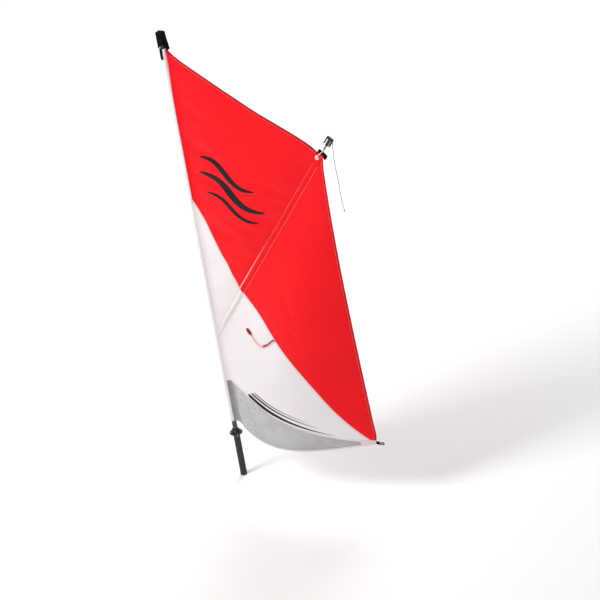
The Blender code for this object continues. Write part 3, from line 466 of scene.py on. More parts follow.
def window_seam(t):
    r, z = lerp((LUFF_R, WINDOW_LUFF_RISE), (SEAM_END[0], WINDOW_END_RISE), t)
    return r, z - WINDOW_SAG * 4 * t * (1 - t)


def batten_point(s, p):
    """(r, z above the tack) at station s along the batten, p to its lower side."""
    spot = BATTEN_DIR * s + BATTEN_SIDE * p
    return spot.x, BATTEN_RISE + spot.z


def below_batten(point):
    """Distance of (r, z) from the batten's line, positive on its lower side."""
    return point[0] * BATTEN_SIDE.x + (point[1] - BATTEN_RISE) * BATTEN_SIDE.z


def station(point):
    """Distance of (r, z) along the batten's line, from the mast's axis."""
    return point[0] * BATTEN_DIR.x + (point[1] - BATTEN_RISE) * BATTEN_DIR.z


def belly(r, z):
    """How far the sail fills to -Y: deep at the foot, shallow at the head, flat along the batten."""
    under = below_batten((r, z))
    if under > 0:
        s = clamp((r - LUFF_R) / (leech_r(z) - LUFF_R))
        fill = 1 - math.exp(-(under / BELLY_REACH) ** 2)
        return FOOT_BELLY * fill * 4 * s * (1 - s) * (1.15 - 0.3 * s)
    along = max(r - LUFF_R, 0.0) / (PEAK_R - LUFF_R)
    drop = max(head_z(r) - z, 0.0) / (LUFF_LENGTH - BATTEN_RISE)
    return HEAD_BELLY * 27 * along * drop * min(-under, 1.0)


def sleeve_radius(rise):
    t = clamp((rise - SLEEVE_FLARE_START) / (LUFF_LENGTH - SLEEVE_FLARE_START))
    return SLEEVE_R + (SLEEVE_HEAD_R - SLEEVE_R) * smooth(t)


def luff_edge(rise):
    """(x, how far to -Y) of the line on the sleeve's side where the sail's cloth is sewn down."""
    angle = math.radians(51 - 27 * smooth((rise - 2.0) / 0.32))
    radius = sleeve_radius(rise)
    return radius * math.cos(angle), radius * math.sin(angle)


def lap_on_sleeve(r, rise):
    """How far the sleeve pushes the cloth to -Y, round its side and just aft of it."""
    edge_x, edge_y = luff_edge(rise)
    if r < edge_x:
        return math.sqrt(sleeve_radius(rise) ** 2 - r * r) + CLOTH
    return (edge_y + CLOTH) * math.exp((edge_x - r) / LUFF_EASE)


# ---- curves and grids
def straight(a, b):
    """A curve is a function of a share from 0 to 1; this one is the line from a to b."""
    return lambda t: lerp(a, b, t)


def stretch(curve, low, high):
    return lambda t: curve(low + (high - low) * t)


def joined(first, second, share):
    """Two curves end to end, the first up to this share."""
    return lambda t: first(t / share) if t < share else second((t - share) / (1 - share))


def bent(a, b, c, share):
    """Straight from a to b and on to c, with b at this share."""
    return joined(straight(a, b), straight(b, c), share)


def shifted(curve, dr, dz):
    return lambda t: (curve(t)[0] + dr, curve(t)[1] + dz)


def arc(centre, radius, start_deg, end_deg, count):
    points = []
    for k in range(count + 1):
        angle = math.radians(start_deg + (end_deg - start_deg) * k / count)
        points.append((centre[0] + radius * math.cos(angle), centre[1] + radius * math.sin(angle)))
    return points


def sampled(curve, count=60):
    """Points of a curve at equal steps of its share."""
    return [curve(k / count) for k in range(count + 1)]


def crossing(curve, value, low=0.0, high=1.0):
    """Where along a curve a value of its points changes sign, by halving."""
    sign = value(curve(low)) > 0
    for _ in range(50):
        middle = (low + high) / 2
        if (value(curve(middle)) > 0) == sign:
            low = middle
        else:
            high = middle
    return (low + high) / 2


def walked(path):
    """Distance along a path at each of its points."""
    return list(accumulate((math.dist(a, b) for a, b in zip(path, path[1:])), initial=0.0))


def path_length(path):
    return walked(path)[-1]


def evenly(line, count):
    """The line cut into this many equal steps."""
    reached = walked(line)
    marks, at = [], 0
    for k in range(count + 1):
        wanted = reached[-1] * k / count
        while at < len(line) - 2 and reached[at + 1] < wanted:
            at += 1
        t = clamp((wanted - reached[at]) / (reached[at + 1] - reached[at]))
        marks.append(lerp(line[at], line[at + 1], t))
    return marks


def smooth_path(route, step):
    """Points about one step apart on a Catmull-Rom curve through the route."""
    route = [Vector(point) for point in route]
    ends = [2 * route[0] - route[1]] + route + [2 * route[-1] - route[-2]]
    dense = []
    for a, b, c, d in zip(ends, ends[1:], ends[2:], ends[3:]):
        for k in range(20):
            t = k / 20
            dense.append(0.5 * (2 * b + (c - a) * t + (2 * a - 5 * b + 4 * c - d) * t ** 2
                                + (3 * b - a - 3 * c + d) * t ** 3))
    dense.append(route[-1])
    return [Vector(point) for point in evenly(dense, max(2, round(path_length(dense) / step)))]


def seam_offset(curve, amount):
    """The curve moved sideways, to its upper side for a positive amount."""
    def moved(t):
        low, high = curve(max(t - 0.01, 0.0)), curve(min(t + 0.01, 1.0))
        run = Vector((high[0] - low[0], high[1] - low[1])).normalized()
        point = curve(t)
        return point[0] - run.y * amount, point[1] + run.x * amount
    return moved


def luff_line(low, high):
    """The line between two heights where the sail is sewn to the sleeve's side."""
    def curve(t):
        rise = low + (high - low) * t
        return luff_edge(rise)[0], rise
    return curve


def grid(across, up, point, wrap=False):
    """Rows of point(u, v), u and v from 0 to 1; wrap leaves out the column that would repeat the first."""
    columns = across if wrap else across + 1
    return [[point(i / across, j / up) for i in range(columns)] for j in range(up + 1)]


def coons(bottom, top, left, right, across, up):
    """Grid of (r, z) points filling four boundary curves that meet at the corners."""
    corners = ((bottom(0), 0, 0), (bottom(1), 1, 0), (top(0), 0, 1), (top(1), 1, 1))

    def point(u, v):
        shares = [(1 - v, bottom(u)), (v, top(u)), (1 - u, left(v)), (u, right(v))]
        shares += [(-(u if right_end else 1 - u) * (v if top_end else 1 - v), corner)
                   for corner, right_end, top_end in corners]
        return tuple(sum(share * spot[k] for share, spot in shares) for k in (0, 1))
    return grid(across, up, point)


def quads(rows_count, columns, wrap=False):
    """Vertex numbers of a grid's faces; wrap joins the last column to the first."""
    faces = []
    for j in range(rows_count - 1):
        for i in range(columns if wrap else columns - 1):
            k = (i + 1) % columns
            faces.append((j * columns + i, j * columns + k, (j + 1) * columns + k, (j + 1) * columns + i))
    return faces


def flat_area(rows):
    """Area of a grid of (r, z) points laid flat."""
    total = 0.0
    for lower, upper in zip(rows, rows[1:]):
        for a, b, c, d in zip(lower, lower[1:], upper[1:], upper):
            total += abs((c[0] - a[0]) * (d[1] - b[1]) - (d[0] - b[0]) * (c[1] - a[1])) / 2
    return total


def flat_size(rows):
    """Sides of the upright rectangle round a grid of (r, z) points."""
    rs = [point[0] for row in rows for point in row]
    zs = [point[1] for row in rows for point in row]
    return max(rs) - min(rs), max(zs) - min(zs)


# ---- cloth simulation of the whole sail
def designed(r, z):
    """A point of the sail before the wind fills it."""
    return Vector((r, -belly(r, z), TACK_Z + z))


def sail_grid():
    """The whole sail as rows of (r, z) points, from luff to leech and from foot to head."""
    top_corner = head_z(PEAK_R)

    def leech_line(t):
        z = CLEW_RISE + (top_corner - CLEW_RISE) * t
        return leech_r(z), z

    def head_line(t):
        r = LUFF_R + (PEAK_R - LUFF_R) * t
        return r, head_z(r)

    return coons(foot, head_line, lambda t: (LUFF_R, LUFF_LENGTH * t), leech_line, 60, 112)


def is_held(point):
    """The sail is held along its luff and its batten, and round its clew."""
    near_batten = abs(below_batten(point)) < BATTEN_GRIP
    near_clew = math.dist(point, (CLEW_R, CLEW_RISE)) < CLEW_GRIP
    return point[0] < LUFF_R + LUFF_GRIP or near_batten or near_clew


def settled_places(trial, points):
    """Where the trial mesh's vertices are once the cloth simulation has settled."""
    held = [k for k, point in enumerate(points) if is_held(point)]
    trial.vertex_groups.new(name="held").add(held, 1.0, "REPLACE")
    cloth = trial.modifiers.new("cloth", "CLOTH")
    for key, value in CLOTH_SETTINGS.items():
        setattr(cloth.settings, key, value)
    cloth.collision_settings.use_collision = False
    scene = bpy.context.scene
    kept = scene.gravity.copy()
    scene.gravity = WIND
    cloth.point_cache.frame_start = 1
    cloth.point_cache.frame_end = SETTLE_FRAMES
    for frame_number in range(1, SETTLE_FRAMES + 1):
        scene.frame_set(frame_number)
    settled = trial.evaluated_get(bpy.context.evaluated_depsgraph_get())
    places = [vertex.co.copy() for vertex in settled.data.vertices]
    trial.modifiers.remove(cloth)
    scene.gravity = kept
    scene.frame_set(1)
    return places


def simulate_sail():
    """Fill the sail with wind, and return the settled surface to measure on."""
    rows = sail_grid()
    points = [point for row in rows for point in row]
    mesh = new_mesh("sail_trial", [designed(*point) for point in points], quads(len(rows), len(rows[0])))
    trial = link_object("sail_trial", mesh)
    places = settled_places(trial, points)
    for point, vertex, place in zip(points, mesh.vertices, places):
        from_hinge = math.dist(point, (TELLTALE_R, TELLTALE_RISE))
        shift = clamp(place.y - vertex.co.y, -MOST_SHIFT, MOST_SHIFT) * smooth(from_hinge / HINGE_EASE)
        vertex.co = vertex.co + Vector((0.0, shift, 0.0))
    refine = trial.modifiers.new("refine", "SUBSURF")
    refine.levels = refine.render_levels = 1
    finer = trial.evaluated_get(bpy.context.evaluated_depsgraph_get())
    tree = BVHTree.FromPolygons([v.co.copy() for v in finer.data.vertices],
                                [tuple(p.vertices) for p in finer.data.polygons])
    bpy.data.objects.remove(trial, do_unlink=True)
    return tree


SURFACE = {}


def sail_y(r, z):
    """Where the settled sail is, across Y, at r aft of the mast and z above the tack."""
    if r <= LUFF_R:
        return -lap_on_sleeve(r, z)
    hit = SURFACE["tree"].ray_cast(Vector((r, -0.5, TACK_Z + z)), Vector((0, 1, 0)))[0]
    if hit is None:
        hit = SURFACE["tree"].find_nearest(designed(r, z))[0]
    ease = smooth((r - LUFF_R) / 0.02)
    y = hit.y * ease - belly(r, z) * (1 - ease)
    return y - lap_on_sleeve(r, z)


def on_sail(point, lift):
    """A point on the sail, moved off it to -Y by lift."""
    r, z = point
    return Vector((r, sail_y(r, z) - lift, TACK_Z + z))


# ---- mesh helpers
def finish_piece(name, mesh, material, body, slot, nodes=()):
    """Link a mesh made in world coordinates."""
    mesh.materials.append(MAT[material])
    mesh.shade_smooth()
    obj = link_object(name, mesh)
    if body:
        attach(obj, body)
    if nodes:
        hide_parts(*nodes)
    return obj


def grid_piece(name, rows, material, body, slot, nodes=(), thickness=CLOTH, wrap=False, lap_and_glare=None):
    """A sheet from a grid of 3-D points, given a real thickness."""
    mesh = new_mesh(name, [point for row in rows for point in row], quads(len(rows), len(rows[0]), wrap))
    # This attribute carries red cloth showing through at seams, and the ribbon's painted glare.
    if lap_and_glare is not None:
        layer = mesh.attributes.new("lap_and_glare", "FLOAT", "POINT")
        layer.data.foreach_set("value", [value for row in lap_and_glare for value in row])
    down = walked([row[0] for row in rows])
    add_uv(mesh, [(u, v) for row, v in zip(rows, down) for u in walked(row)])
    obj = finish_piece(name, mesh, material, body, slot, nodes)
    solidify = obj.modifiers.new("thickness", "SOLIDIFY")
    solidify.thickness = thickness
    solidify.offset = 0.0
    return obj


def strap_piece(name, rows, thickness, nodes=(), wrap=False):
    grid_piece(name, rows, "webbing", "sail", "webbing_black", nodes, thickness, wrap)


def add_uv(mesh, spots):
    """UV in metres, one spot for each vertex."""
    layer = mesh.uv_layers.new(name="metres")
    for loop in mesh.loops:
        layer.data[loop.index].uv = spots[loop.vertex_index]


def tube_rows(path, radius_at, sides):
    """Rings of points round a path.  radius_at(k, angle) is the radius at a ring and angle."""
    path = [Vector(point) for point in path]
    rows = []
    side = (path[1] - path[0]).normalized().orthogonal().normalized()
    for k, point in enumerate(path):
        ahead = (path[min(k + 1, len(path) - 1)] - path[max(k - 1, 0)]).normalized()
        side = (side - ahead * side.dot(ahead)).normalized()
        other = ahead.cross(side)
        ring = []
        for i in range(sides):
            angle = math.tau * i / sides
            ring.append(point + (side * math.cos(angle) + other * math.sin(angle)) * radius_at(k, angle))
        rows.append(ring)
    return rows


def tube_piece(name, rows, material, body, slot, nodes):
    """A closed tube from rings, with flat ends, and UV of length and girth in metres."""
    columns = len(rows[0])
    faces = quads(len(rows), columns, wrap=True)
    faces.append(tuple(range(columns))[::-1])
    last = (len(rows) - 1) * columns
    faces.append(tuple(last + k for k in range(columns)))
    mesh = new_mesh(name, [point for row in rows for point in row], faces)
    centre_line = [sum(row, Vector()) / columns for row in rows]
    girth = math.tau * (rows[0][0] - centre_line[0]).length
    add_uv(mesh, [(down, girth * k / columns) for down in walked(centre_line) for k in range(columns)])
    return finish_piece(name, mesh, material, body, slot, nodes)


def along(s, p=0.0, y=0.0):
    """World point at batten station s, p to the lower side, y across the sail."""
    return BATTEN_FOOT + BATTEN_DIR * s + BATTEN_SIDE * p + Vector((0, y, 0))


# ---- cords
def braided_radius(radius):
    """Radius of a braided cord at ring k and an angle: two sets of strands crossing."""
    strands, lay, depth, step = 8, 0.011, 0.07, 0.0011

    def at(k, angle):
        turn = math.tau * k * step / lay
        crossed = max(math.sin(strands * (angle + turn)), math.sin(strands * (angle - turn)))
        return radius * (1 - depth + depth * crossed)
    return at


def make_tail():
    """The lacing's free end: it leaves the cleat's horn and hangs under its own weight to a knot."""
    start = along(TIP_S - 0.0255, 0.0173, 0.0092)
    over = along(TIP_S - 0.0290, 0.0240, 0.0082)
    side = along(TIP_S - 0.0330, 0.0268, 0.0)
    down = [(0.0012, -0.0015, 0.022), (-0.0010, -0.0010, 0.060), (-0.0045, 0.0015, 0.110),
            (-0.0035, 0.0030, 0.160), (0.0010, 0.0010, 0.210), (0.0035, -0.0020, 0.260),
            (0.0030, -0.0020, 0.310), (0.0055, 0.0005, 0.350), (0.0080, 0.0010, 0.388)]
    route = [start, over, side] + [side + Vector((dx, dy, -fall)) for dx, dy, fall in down]
    path = smooth_path(route, 0.0011)
    rows = tube_rows(path, braided_radius(CORD_R), 24)
    tail = tube_piece("lacing_tail_cord", rows, "cord", "batten", "cord_white", ["lacing_tail"])
    knot = make_knot(path[-1])
    path_length(path)


def make_knot(end):
    """Overhand knot, hanging from the cord's last point."""
    size, drop = 0.0023, 0.0052
    path = []
    for k in range(97):
        t = math.tau * k / 96
        x = size * (math.sin(t) + 2 * math.sin(2 * t)) * 0.55
        y = size * (math.cos(t) - 2 * math.cos(2 * t)) * 0.45
        z = -size * math.sin(3 * t) * 0.9
        path.append(end + Vector((x, y, -drop + z)))
    rows = tube_rows(path[:-1], braided_radius(CORD_R * 0.72), 16)
    return tube_piece("lacing_tail_knot", rows, "cord", "batten", "cord_white", ["tail_knot"])


def make_lacing():
    """Down in front through the eyelet, back up behind, and over the cleat's horn."""
    out = 0.0060 + 0.0022 + CORD_R + 0.0008
    slot = 0.0107
    route = [along(TIP_S - 0.0165, slot, 0.0), along(TIP_S - 0.040, slot, 0.0),
             along(TIP_S - 0.072, slot - 0.003, -0.005), along(MOUTH_S + 0.020, -0.002, -out + 0.001),
             along(EYELET_S + 0.016, EYELET_P, -out), along(EYELET_S + 0.005, EYELET_P, -out),
             along(EYELET_S, EYELET_P, -out + 0.0045), along(EYELET_S, EYELET_P, 0.0),
             along(EYELET_S, EYELET_P, out - 0.0045), along(EYELET_S + 0.005, EYELET_P, out + 0.0004),
             along(EYELET_S + 0.016, EYELET_P + 0.002, out + 0.0012),
             along(MOUTH_S + 0.004, 0.0, out + 0.0012), along(TIP_S - 0.080, 0.006, out),
             along(TIP_S - 0.045, slot, 0.0094), along(TIP_S - 0.0250, slot + 0.001, 0.0088)]
    path = smooth_path(route, 0.0013)
    rows = tube_rows(path, braided_radius(CORD_R), 24)
    lacing = tube_piece("batten_lacing_cord", rows, "lacing", None, "cord_white", ["batten_lacing"])
    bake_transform(lacing)


# ---- sail panels
def sail_panel(name, rows, material, slot, nodes, lap_and_glare=None, lift=None, thickness=CLOTH):
    """One cut of cloth on the settled surface.

    lap(point) tells the cloth how near a seam it is, and lift(point) moves it off the surface."""
    shades = [[lap_and_glare(point) for point in row] for row in rows] if lap_and_glare else None
    placed = [[on_sail(point, lift(point) if lift else 0.0) for point in row] for row in rows]
    obj = grid_piece(name, placed, material, "sail", slot, nodes, thickness, lap_and_glare=shades)
    flat_size(rows)
    flat_area(rows)


def seam_distance(point):
    """How far a point is from the red and white seam, found by walking the seam."""
    return min(math.dist(point, spot) for spot in SEAM_POINTS)


SEAM_POINTS = [seam(k / 160) for k in range(161)]


def at_luff(p):
    """Where a line beside the batten meets the sleeve's side."""
    reach = luff_edge(BATTEN_RISE)[0]
    return batten_point((reach - BATTEN_SIDE.x * p) / BATTEN_DIR.x, p)


def back_of_seam(point):
    """Red cloth goes behind the white at their seam."""
    return -BEHIND * clamp(1.0 - (seam_distance(point) - 0.006) / 0.012)


def along_head(start, end, end_ease):
    """The head's curve between two points that may lie a little off it."""
    drop_start, drop_end = start[1] - head_z(start[0]), end[1] - head_z(end[0])

    def curve(t):
        r = start[0] + (end[0] - start[0]) * t
        return r, (head_z(r) + drop_start * (1 - smooth(t / 0.05))
                   + drop_end * smooth((t - 1 + end_ease) / end_ease))
    return curve


def near_seam(point):
    """How strongly the red cloth behind shows through white cloth by their seam."""
    return clamp(1.0 - (seam_distance(point) - 0.004) / 0.007) * 0.55


KEEP = POCKET_HALF - 0.004      # the cloths stop this far from the batten's line, inside the pocket
# Where the seams cross the pocket's edges and end under the clew's patch, as shares of their curves.
CROSS_LOW = crossing(seam, lambda q: below_batten(q) - KEEP)
CROSS_HIGH = crossing(seam, lambda q: below_batten(q) + KEEP)
SEAM_CLEW = crossing(seam, lambda q: q[1] - PATCH_RISE, 0.5, 1.0)
WINDOW_CLEW = crossing(window_seam, lambda q: q[0] - WINDOW_CLEW_R, 0.5, 1.0)
FOOT_CLEW = crossing(foot, lambda q: q[0] - FOOT_CLEW_R, 0.5, 1.0)
# The station at which the leech meets the pocket, and the leech cloth's top corner there.
AT_LEECH = crossing(lambda s: batten_point(s, KEEP), lambda q: q[0] - leech_r(q[1]), 1.40, 1.60)
PEAK_LOW = batten_point(min(AT_LEECH, POCKET_END_S) - LEECH_INSET, KEEP)


def make_white_panels():
    """The white cloth under the batten, and the white cloth over it along the luff."""
    start_low, start_high = at_luff(KEEP), at_luff(-KEEP)
    batten_low = straight(start_low, batten_point(station(seam(CROSS_LOW)), KEEP))
    upper = joined(batten_low, stretch(seam, CROSS_LOW, SEAM_CLEW), 0.28)
    clew_side = straight(window_seam(WINDOW_CLEW), seam(SEAM_CLEW))
    body = coons(stretch(window_seam, 0.0, WINDOW_CLEW), upper,
                 straight(window_seam(0.0), start_low), clew_side, 130, 60)
    sail_panel("white_body_panel", luff_extended(body), "white", "cloth_white", ["body_panel"], near_seam)

    low_corner = batten_point(station(start_high) + 0.09, -KEEP)
    high_corner = batten_point(station(seam(CROSS_HIGH)), -KEEP)
    luff = coons(straight(start_high, low_corner), stretch(seam, 0.0, CROSS_HIGH),
                 luff_line(start_high[1], seam(0.0)[1]), straight(low_corner, high_corner), 40, 110)
    sail_panel("white_luff_panel", luff, "white", "cloth_white", ["luff_panel"], near_seam)


def make_red_head():
    """The red cloth over the batten, under the white cloth's edge at the seam."""
    top = seam(0.0)
    under = seam_offset(stretch(seam, 0.0, CROSS_HIGH), -LAP)
    luff = joined(straight(under(0.0), top), luff_line(top[1], HEAD_CORNER_RISE - 0.004), 0.02)
    peak = batten_point(POCKET_END_S, -KEEP)
    head = coons(under, along_head(luff(1.0), peak, 0.5), luff, straight(under(1.0), peak), 84, 110)
    sail_panel("red_head_panel", head, "red", "cloth_red", ["head_panel"], lift=back_of_seam)


def make_red_leech():
    """The red cloth under the batten, down the leech to the clew."""
    clew_end = (leech_r(PATCH_RISE) - LEECH_INSET, PATCH_RISE)
    hidden = seam_offset(stretch(seam, SEAM_CLEW, CROSS_LOW), LAP)
    low, high = ((z - CLEW_RISE) / (PEAK_RISE - CLEW_RISE) for z in (clew_end[1], PEAK_LOW[1]))
    leech_line = shifted(stretch(leech, low, high), -LEECH_INSET, 0.0)
    bottom, top = straight(hidden(0.0), clew_end), straight(hidden(1.0), PEAK_LOW)
    rows = coons(bottom, top, hidden, leech_line, 70, 120)
    sail_panel("red_leech_panel", rows, "red", "cloth_red", ["leech_panel"], lift=back_of_seam)


def make_window():
    """The clear window along the foot, behind the white cloth's edge."""
    top = seam_offset(stretch(window_seam, 0.0, WINDOW_CLEW), LAP)
    low = shifted(stretch(foot, 0.0, FOOT_CLEW), 0, 0.001)
    rows = coons(low, top, straight(low(0.0), top(0.0)), straight(low(1.0), top(1.0)), 120, 24)
    sail_panel("clear_window", luff_extended(rows), "window", "window_vinyl", ["window_panel"],
               lift=lambda point: -BEHIND, thickness=0.0005)


def luff_extended(rows):
    """Add columns in front of a grid that starts at the luff line, round the sleeve's side."""
    result = []
    for row in rows:
        r, z = row[0]
        edge = luff_edge(z)[0]
        result.append([(edge + (r - edge) * k / 6, z) for k in range(6)] + row)
    return result


# ---- hems, tapes and stitching
def hem_rows(edge, inward, width, count):
    """A tape folded over an edge.  inward is +1 or -1, the side of the edge the cloth is on."""
    lift = 0.0008
    front = [(width, 0.0005), (width * 0.8, lift), (width * 0.4, lift), (0.0012, lift), (-0.0002, lift * 0.6)]
    section = front + [(-0.0006, 0.0)] + [(inset, -height) for inset, height in reversed(front)]
    lines = [(seam_offset(edge, inward * inset), height) for inset, height in section]
    rows = []
    for k in range(count + 1):
        points = [(*line(k / count), height) for line, height in lines]
        rows.append([on_sail((max(r, luff_edge(z)[0] + CLOTH), z), height) for r, z, height in points])
    return rows


def stitches(name, lines, material, slot="cloth_white", pitch=0.0042, width=0.0030,
             radius=0.00042, both=True, place=on_sail, lift=0.0009):
    """Zigzag thread along each line of (r, z) points, on one face of the cloth or both."""
    verts, faces = [], []
    for line in lines:
        count = max(2, round(path_length(line) / pitch * 2))
        marks = evenly(line, count)
        for k, ((r0, z0), (r1, z1)) in enumerate(zip(marks, marks[1:])):
            run = Vector((r1 - r0, z1 - z0)).normalized()
            side = width / 2 * (1 if k % 2 else -1)
            first = (r0 - run.y * side, z0 + run.x * side)
            second = (r1 + run.y * side, z1 - run.x * side)
            for height in ((lift, -lift) if both else (lift,)):
                add_stitch(verts, faces, place(first, height), place(second, height), radius)
    finish_piece(name, new_mesh(name, verts, faces), material, "sail", slot)


def add_stitch(verts, faces, start, end, radius):
    """One stitch: a six-sided bulge, thickest in the middle, pulled into the cloth at its ends."""
    run = (end - start).normalized()
    across = run.cross(Vector((0, 1, 0))).normalized()
    depth = across.cross(run)
    base = len(verts)
    verts.append(start)
    for share in (0.3, 0.7):
        middle = start.lerp(end, share)
        for k in range(4):
            angle = math.tau * (k + 0.5) / 4
            verts.append(middle + (across * math.cos(angle) + depth * math.sin(angle)) * radius)
    verts.append(end)
    for k in range(4):
        n = (k + 1) % 4
        faces.append((base, base + 1 + n, base + 1 + k))
        faces.append((base + 1 + k, base + 1 + n, base + 5 + n, base + 5 + k))
        faces.append((base + 9, base + 5 + k, base + 5 + n))


def make_edges():
    """Folded hems along the head, leech and foot, with their stitching and the seams' stitching."""
    head_start = (luff_edge(HEAD_CORNER_RISE)[0] + 0.002, HEAD_CORNER_RISE - 0.002)
    head_edge = along_head(head_start, batten_point(MOUTH_S - 0.002, -POCKET_HALF), 0.05)

    def leech_edge(t):
        z = PATCH_RISE - 0.004 + (PEAK_LOW[1] - 0.002 - PATCH_RISE) * t
        return leech_r(z), z

    foot_edge = stretch(foot, 0.0, FOOT_CLEW + 0.02)
    for name, edge, inward, width, count, cloth, slot, tape in (
            ("head_hem", head_edge, -1, 0.016, 150, "red_hem", "cloth_red", "head_tape"),
            ("leech_hem", leech_edge, 1, 0.012, 170, "red_hem", "cloth_red", "leech_tape"),
            ("foot_hem", foot_edge, 1, 0.009, 150, "foot_tape", "tape_white", "foot_tape")):
        grid_piece(name, hem_rows(edge, inward, width, count), cloth, "sail", slot, [tape])

    seams = (stretch(seam, 0.0, CROSS_HIGH), stretch(seam, CROSS_LOW, SEAM_CLEW))
    window = stretch(window_seam, 0.0, WINDOW_CLEW)
    for name, edges, insets, material, slot in (
            ("head_hem_stitching", [stretch(head_edge, 0.035, 1.0)], [-0.0140], "pale_thread", "cloth_white"),
            ("leech_hem_stitching", [leech_edge], [0.0102], "pale_thread", "cloth_red"),
            ("foot_hem_stitching", [foot_edge], [0.0072], "white_thread", "tape_white"),
            ("colour_seam_stitching", seams, [-0.002, -0.0075], "white_thread", "cloth_white"),
            ("window_seam_stitching", [window], [0.002, 0.0075], "white_thread", "cloth_white")):
        lines = [sampled(seam_offset(edge, inset)) for edge in edges for inset in insets]
        stitches(name, lines, material, slot)


# ---- batten pocket and peak
def pocket_rise(p, s):
    """How far the pocket's face stands off the batten's plane."""
    reach = 0.0135 + 0.0037 * (1 - smooth((s - 0.70) / 0.15))
    round_rod = (1 + math.cos(math.pi * min(abs(p) / reach, 1.0))) / 2
    boxy = max(1 - (abs(p) / 0.0172) ** 4, 0.0) ** 0.5
    share = smooth((s - 1.42) / 0.05)
    filled = 0.0050 * smooth((s - 0.06) / 0.06)
    pucker = 0.00025 * math.sin(s * 310) * math.sin(s * 97 + p * 60) * smooth(abs(p) / 0.006)
    return filled * (round_rod * (1 - share) + boxy * share) + 0.0007 + pucker


def pocket_piece(name, start, end, material, slot, nodes):
    """Front and back strips of the pocket as one flattened tube, open at its ends.

    start and end are functions of p, because the ends follow the luff and the seam."""
    half, columns, steps = POCKET_HALF - 0.0003, 20, 130
    side = [half * math.sin(math.pi / 2 * (2 * k / columns - 1)) for k in range(columns + 1)]
    strip = [(p, start(p), end(p)) for p in side]
    ring = [(*line, 1) for line in strip] + [(*line, -1) for line in reversed(strip)]
    rows = []
    for j in range(steps + 1):
        row = []
        for p, low, high, face in ring:
            s = low + (high - low) * j / steps
            row.append(on_sail(batten_point(s, p), face * pocket_rise(p, s)))
        rows.append(row)
    return grid_piece(name, rows, material, "sail", slot, nodes, wrap=True)


def at_seam(p):
    """Station where a line beside the batten meets the colour seam."""
    return station(seam(crossing(seam, lambda q: below_batten(q) - p)))


def make_pocket():
    """White and red lengths of the pocket, the eyelet's hole in the red one, and their stitching."""
    pocket_piece("pocket_white", lambda p: station(at_luff(p)) + 0.001, lambda p: at_seam(p) + 0.001, "white",
                 "cloth_white", ["pocket_lower", "heel_patch"])
    red = pocket_piece("pocket_red", lambda p: at_seam(p) - 0.0005, lambda p: MOUTH_S, "red", "cloth_red",
                       ["pocket_upper"])
    cut_out(red, turned("punch", [(0, -0.02), (0.0049, -0.02), (0.0049, 0.02), (0, 0.02)],
                        along(EYELET_S, EYELET_P), 32))
    lines = []
    for p in (-0.0155, 0.0155):
        marks = (station(at_luff(p)) + 0.004, at_seam(p) - 0.004, at_seam(p) + 0.004, MOUTH_S - 0.004)
        for low, high in (marks[:2], marks[2:]):
            lines.append(sampled(straight(batten_point(low, p), batten_point(high, p)), 40))
    stitches("pocket_stitching", lines, "pale_thread", "cloth_red", lift=0.0020)
    band = [[batten_point(s, p) for p in (-0.014, 0.0, 0.014)] for s in (MOUTH_S - 0.005, MOUTH_S - 0.012)]
    stitches("pocket_mouth_stitching", band, "pale_thread", "cloth_red", lift=0.0052, place=on_pocket)


def on_pocket(point, lift):
    """A point on the pocket's front or back face, on the side that lift has the sign of."""
    rise = pocket_rise(below_batten(point), station(point)) + 0.0003
    return on_sail(point, math.copysign(rise, lift))


def turned(name, profile, centre, steps):
    """A closed solid turned round an axis along Y from (radius, height) points."""
    axis = Vector((0.0, 1.0, 0.0))
    side = axis.orthogonal().normalized()
    other = axis.cross(side)
    verts, rings = [], []
    for radius, height in profile:
        if radius == 0:
            rings.append([len(verts)] * steps)
            verts.append(centre + axis * height)
            continue
        rings.append(list(range(len(verts), len(verts) + steps)))
        for x, y in arc((0, 0), radius, 0, 360, steps)[:-1]:
            verts.append(centre + axis * height + side * x + other * y)
    pairs = list(zip(rings, rings[1:]))
    if profile[0][0] > 0:
        pairs.append((rings[-1], rings[0]))
    faces = []
    for low, high in pairs:
        for k in range(steps):
            n = (k + 1) % steps
            corners = list(dict.fromkeys((low[k], low[n], high[n], high[k])))
            if len(corners) > 2:
                faces.append(corners)
    mesh = new_mesh(name, verts, faces)
    tidy_normals(mesh)
    return mesh


def tidy_normals(mesh):
    bm = bmesh.new()
    bm.from_mesh(mesh)
    bmesh.ops.recalc_face_normals(bm, faces=bm.faces)
    bm.to_mesh(mesh)
    bm.free()


def cut_out(obj, cutter_mesh):
    """Cut a hole and keep the result, so that nothing but the finished mesh is left."""
    cutter = link_object("cutter", cutter_mesh)
    modifier = obj.modifiers.new("hole", "BOOLEAN")
    modifier.operation = "DIFFERENCE"
    modifier.object = cutter
    bpy.context.view_layer.update()
    cutter.matrix_world = Matrix.Identity(4)
    result = bpy.data.meshes.new_from_object(obj.evaluated_get(bpy.context.evaluated_depsgraph_get()))
    obj.modifiers.clear()
    obj.data = result
    bpy.data.objects.remove(cutter, do_unlink=True)


def make_eyelet():
    """Rolled two-part eyelet right through the pocket."""
    face, bore, barrel, flange = 0.0059, 0.0040, 0.0048, 0.0125
    lip = [(bore + 0.0042 + 0.0036 * x, face + 0.0013 + 0.0012 * y) for x, y in arc((0, 0), 1.0, 20, 180, 8)]
    half = [(barrel, face), (flange - 0.0008, face + 0.0002), (flange, face + 0.0007),
            (flange - 0.0003, face + 0.0013), *lip, (bore, face + 0.0004)]
    profile = half + [(radius, -height) for radius, height in reversed(half)]
    mesh = turned("peak_eyelet_ring", profile, along(EYELET_S, EYELET_P), 64)
    finish_piece("peak_eyelet_ring", mesh, "eyelet", "sail", "eyelet_metal", ["peak_eyelet"])
    mesh.set_sharp_from_angle(angle=math.radians(38))


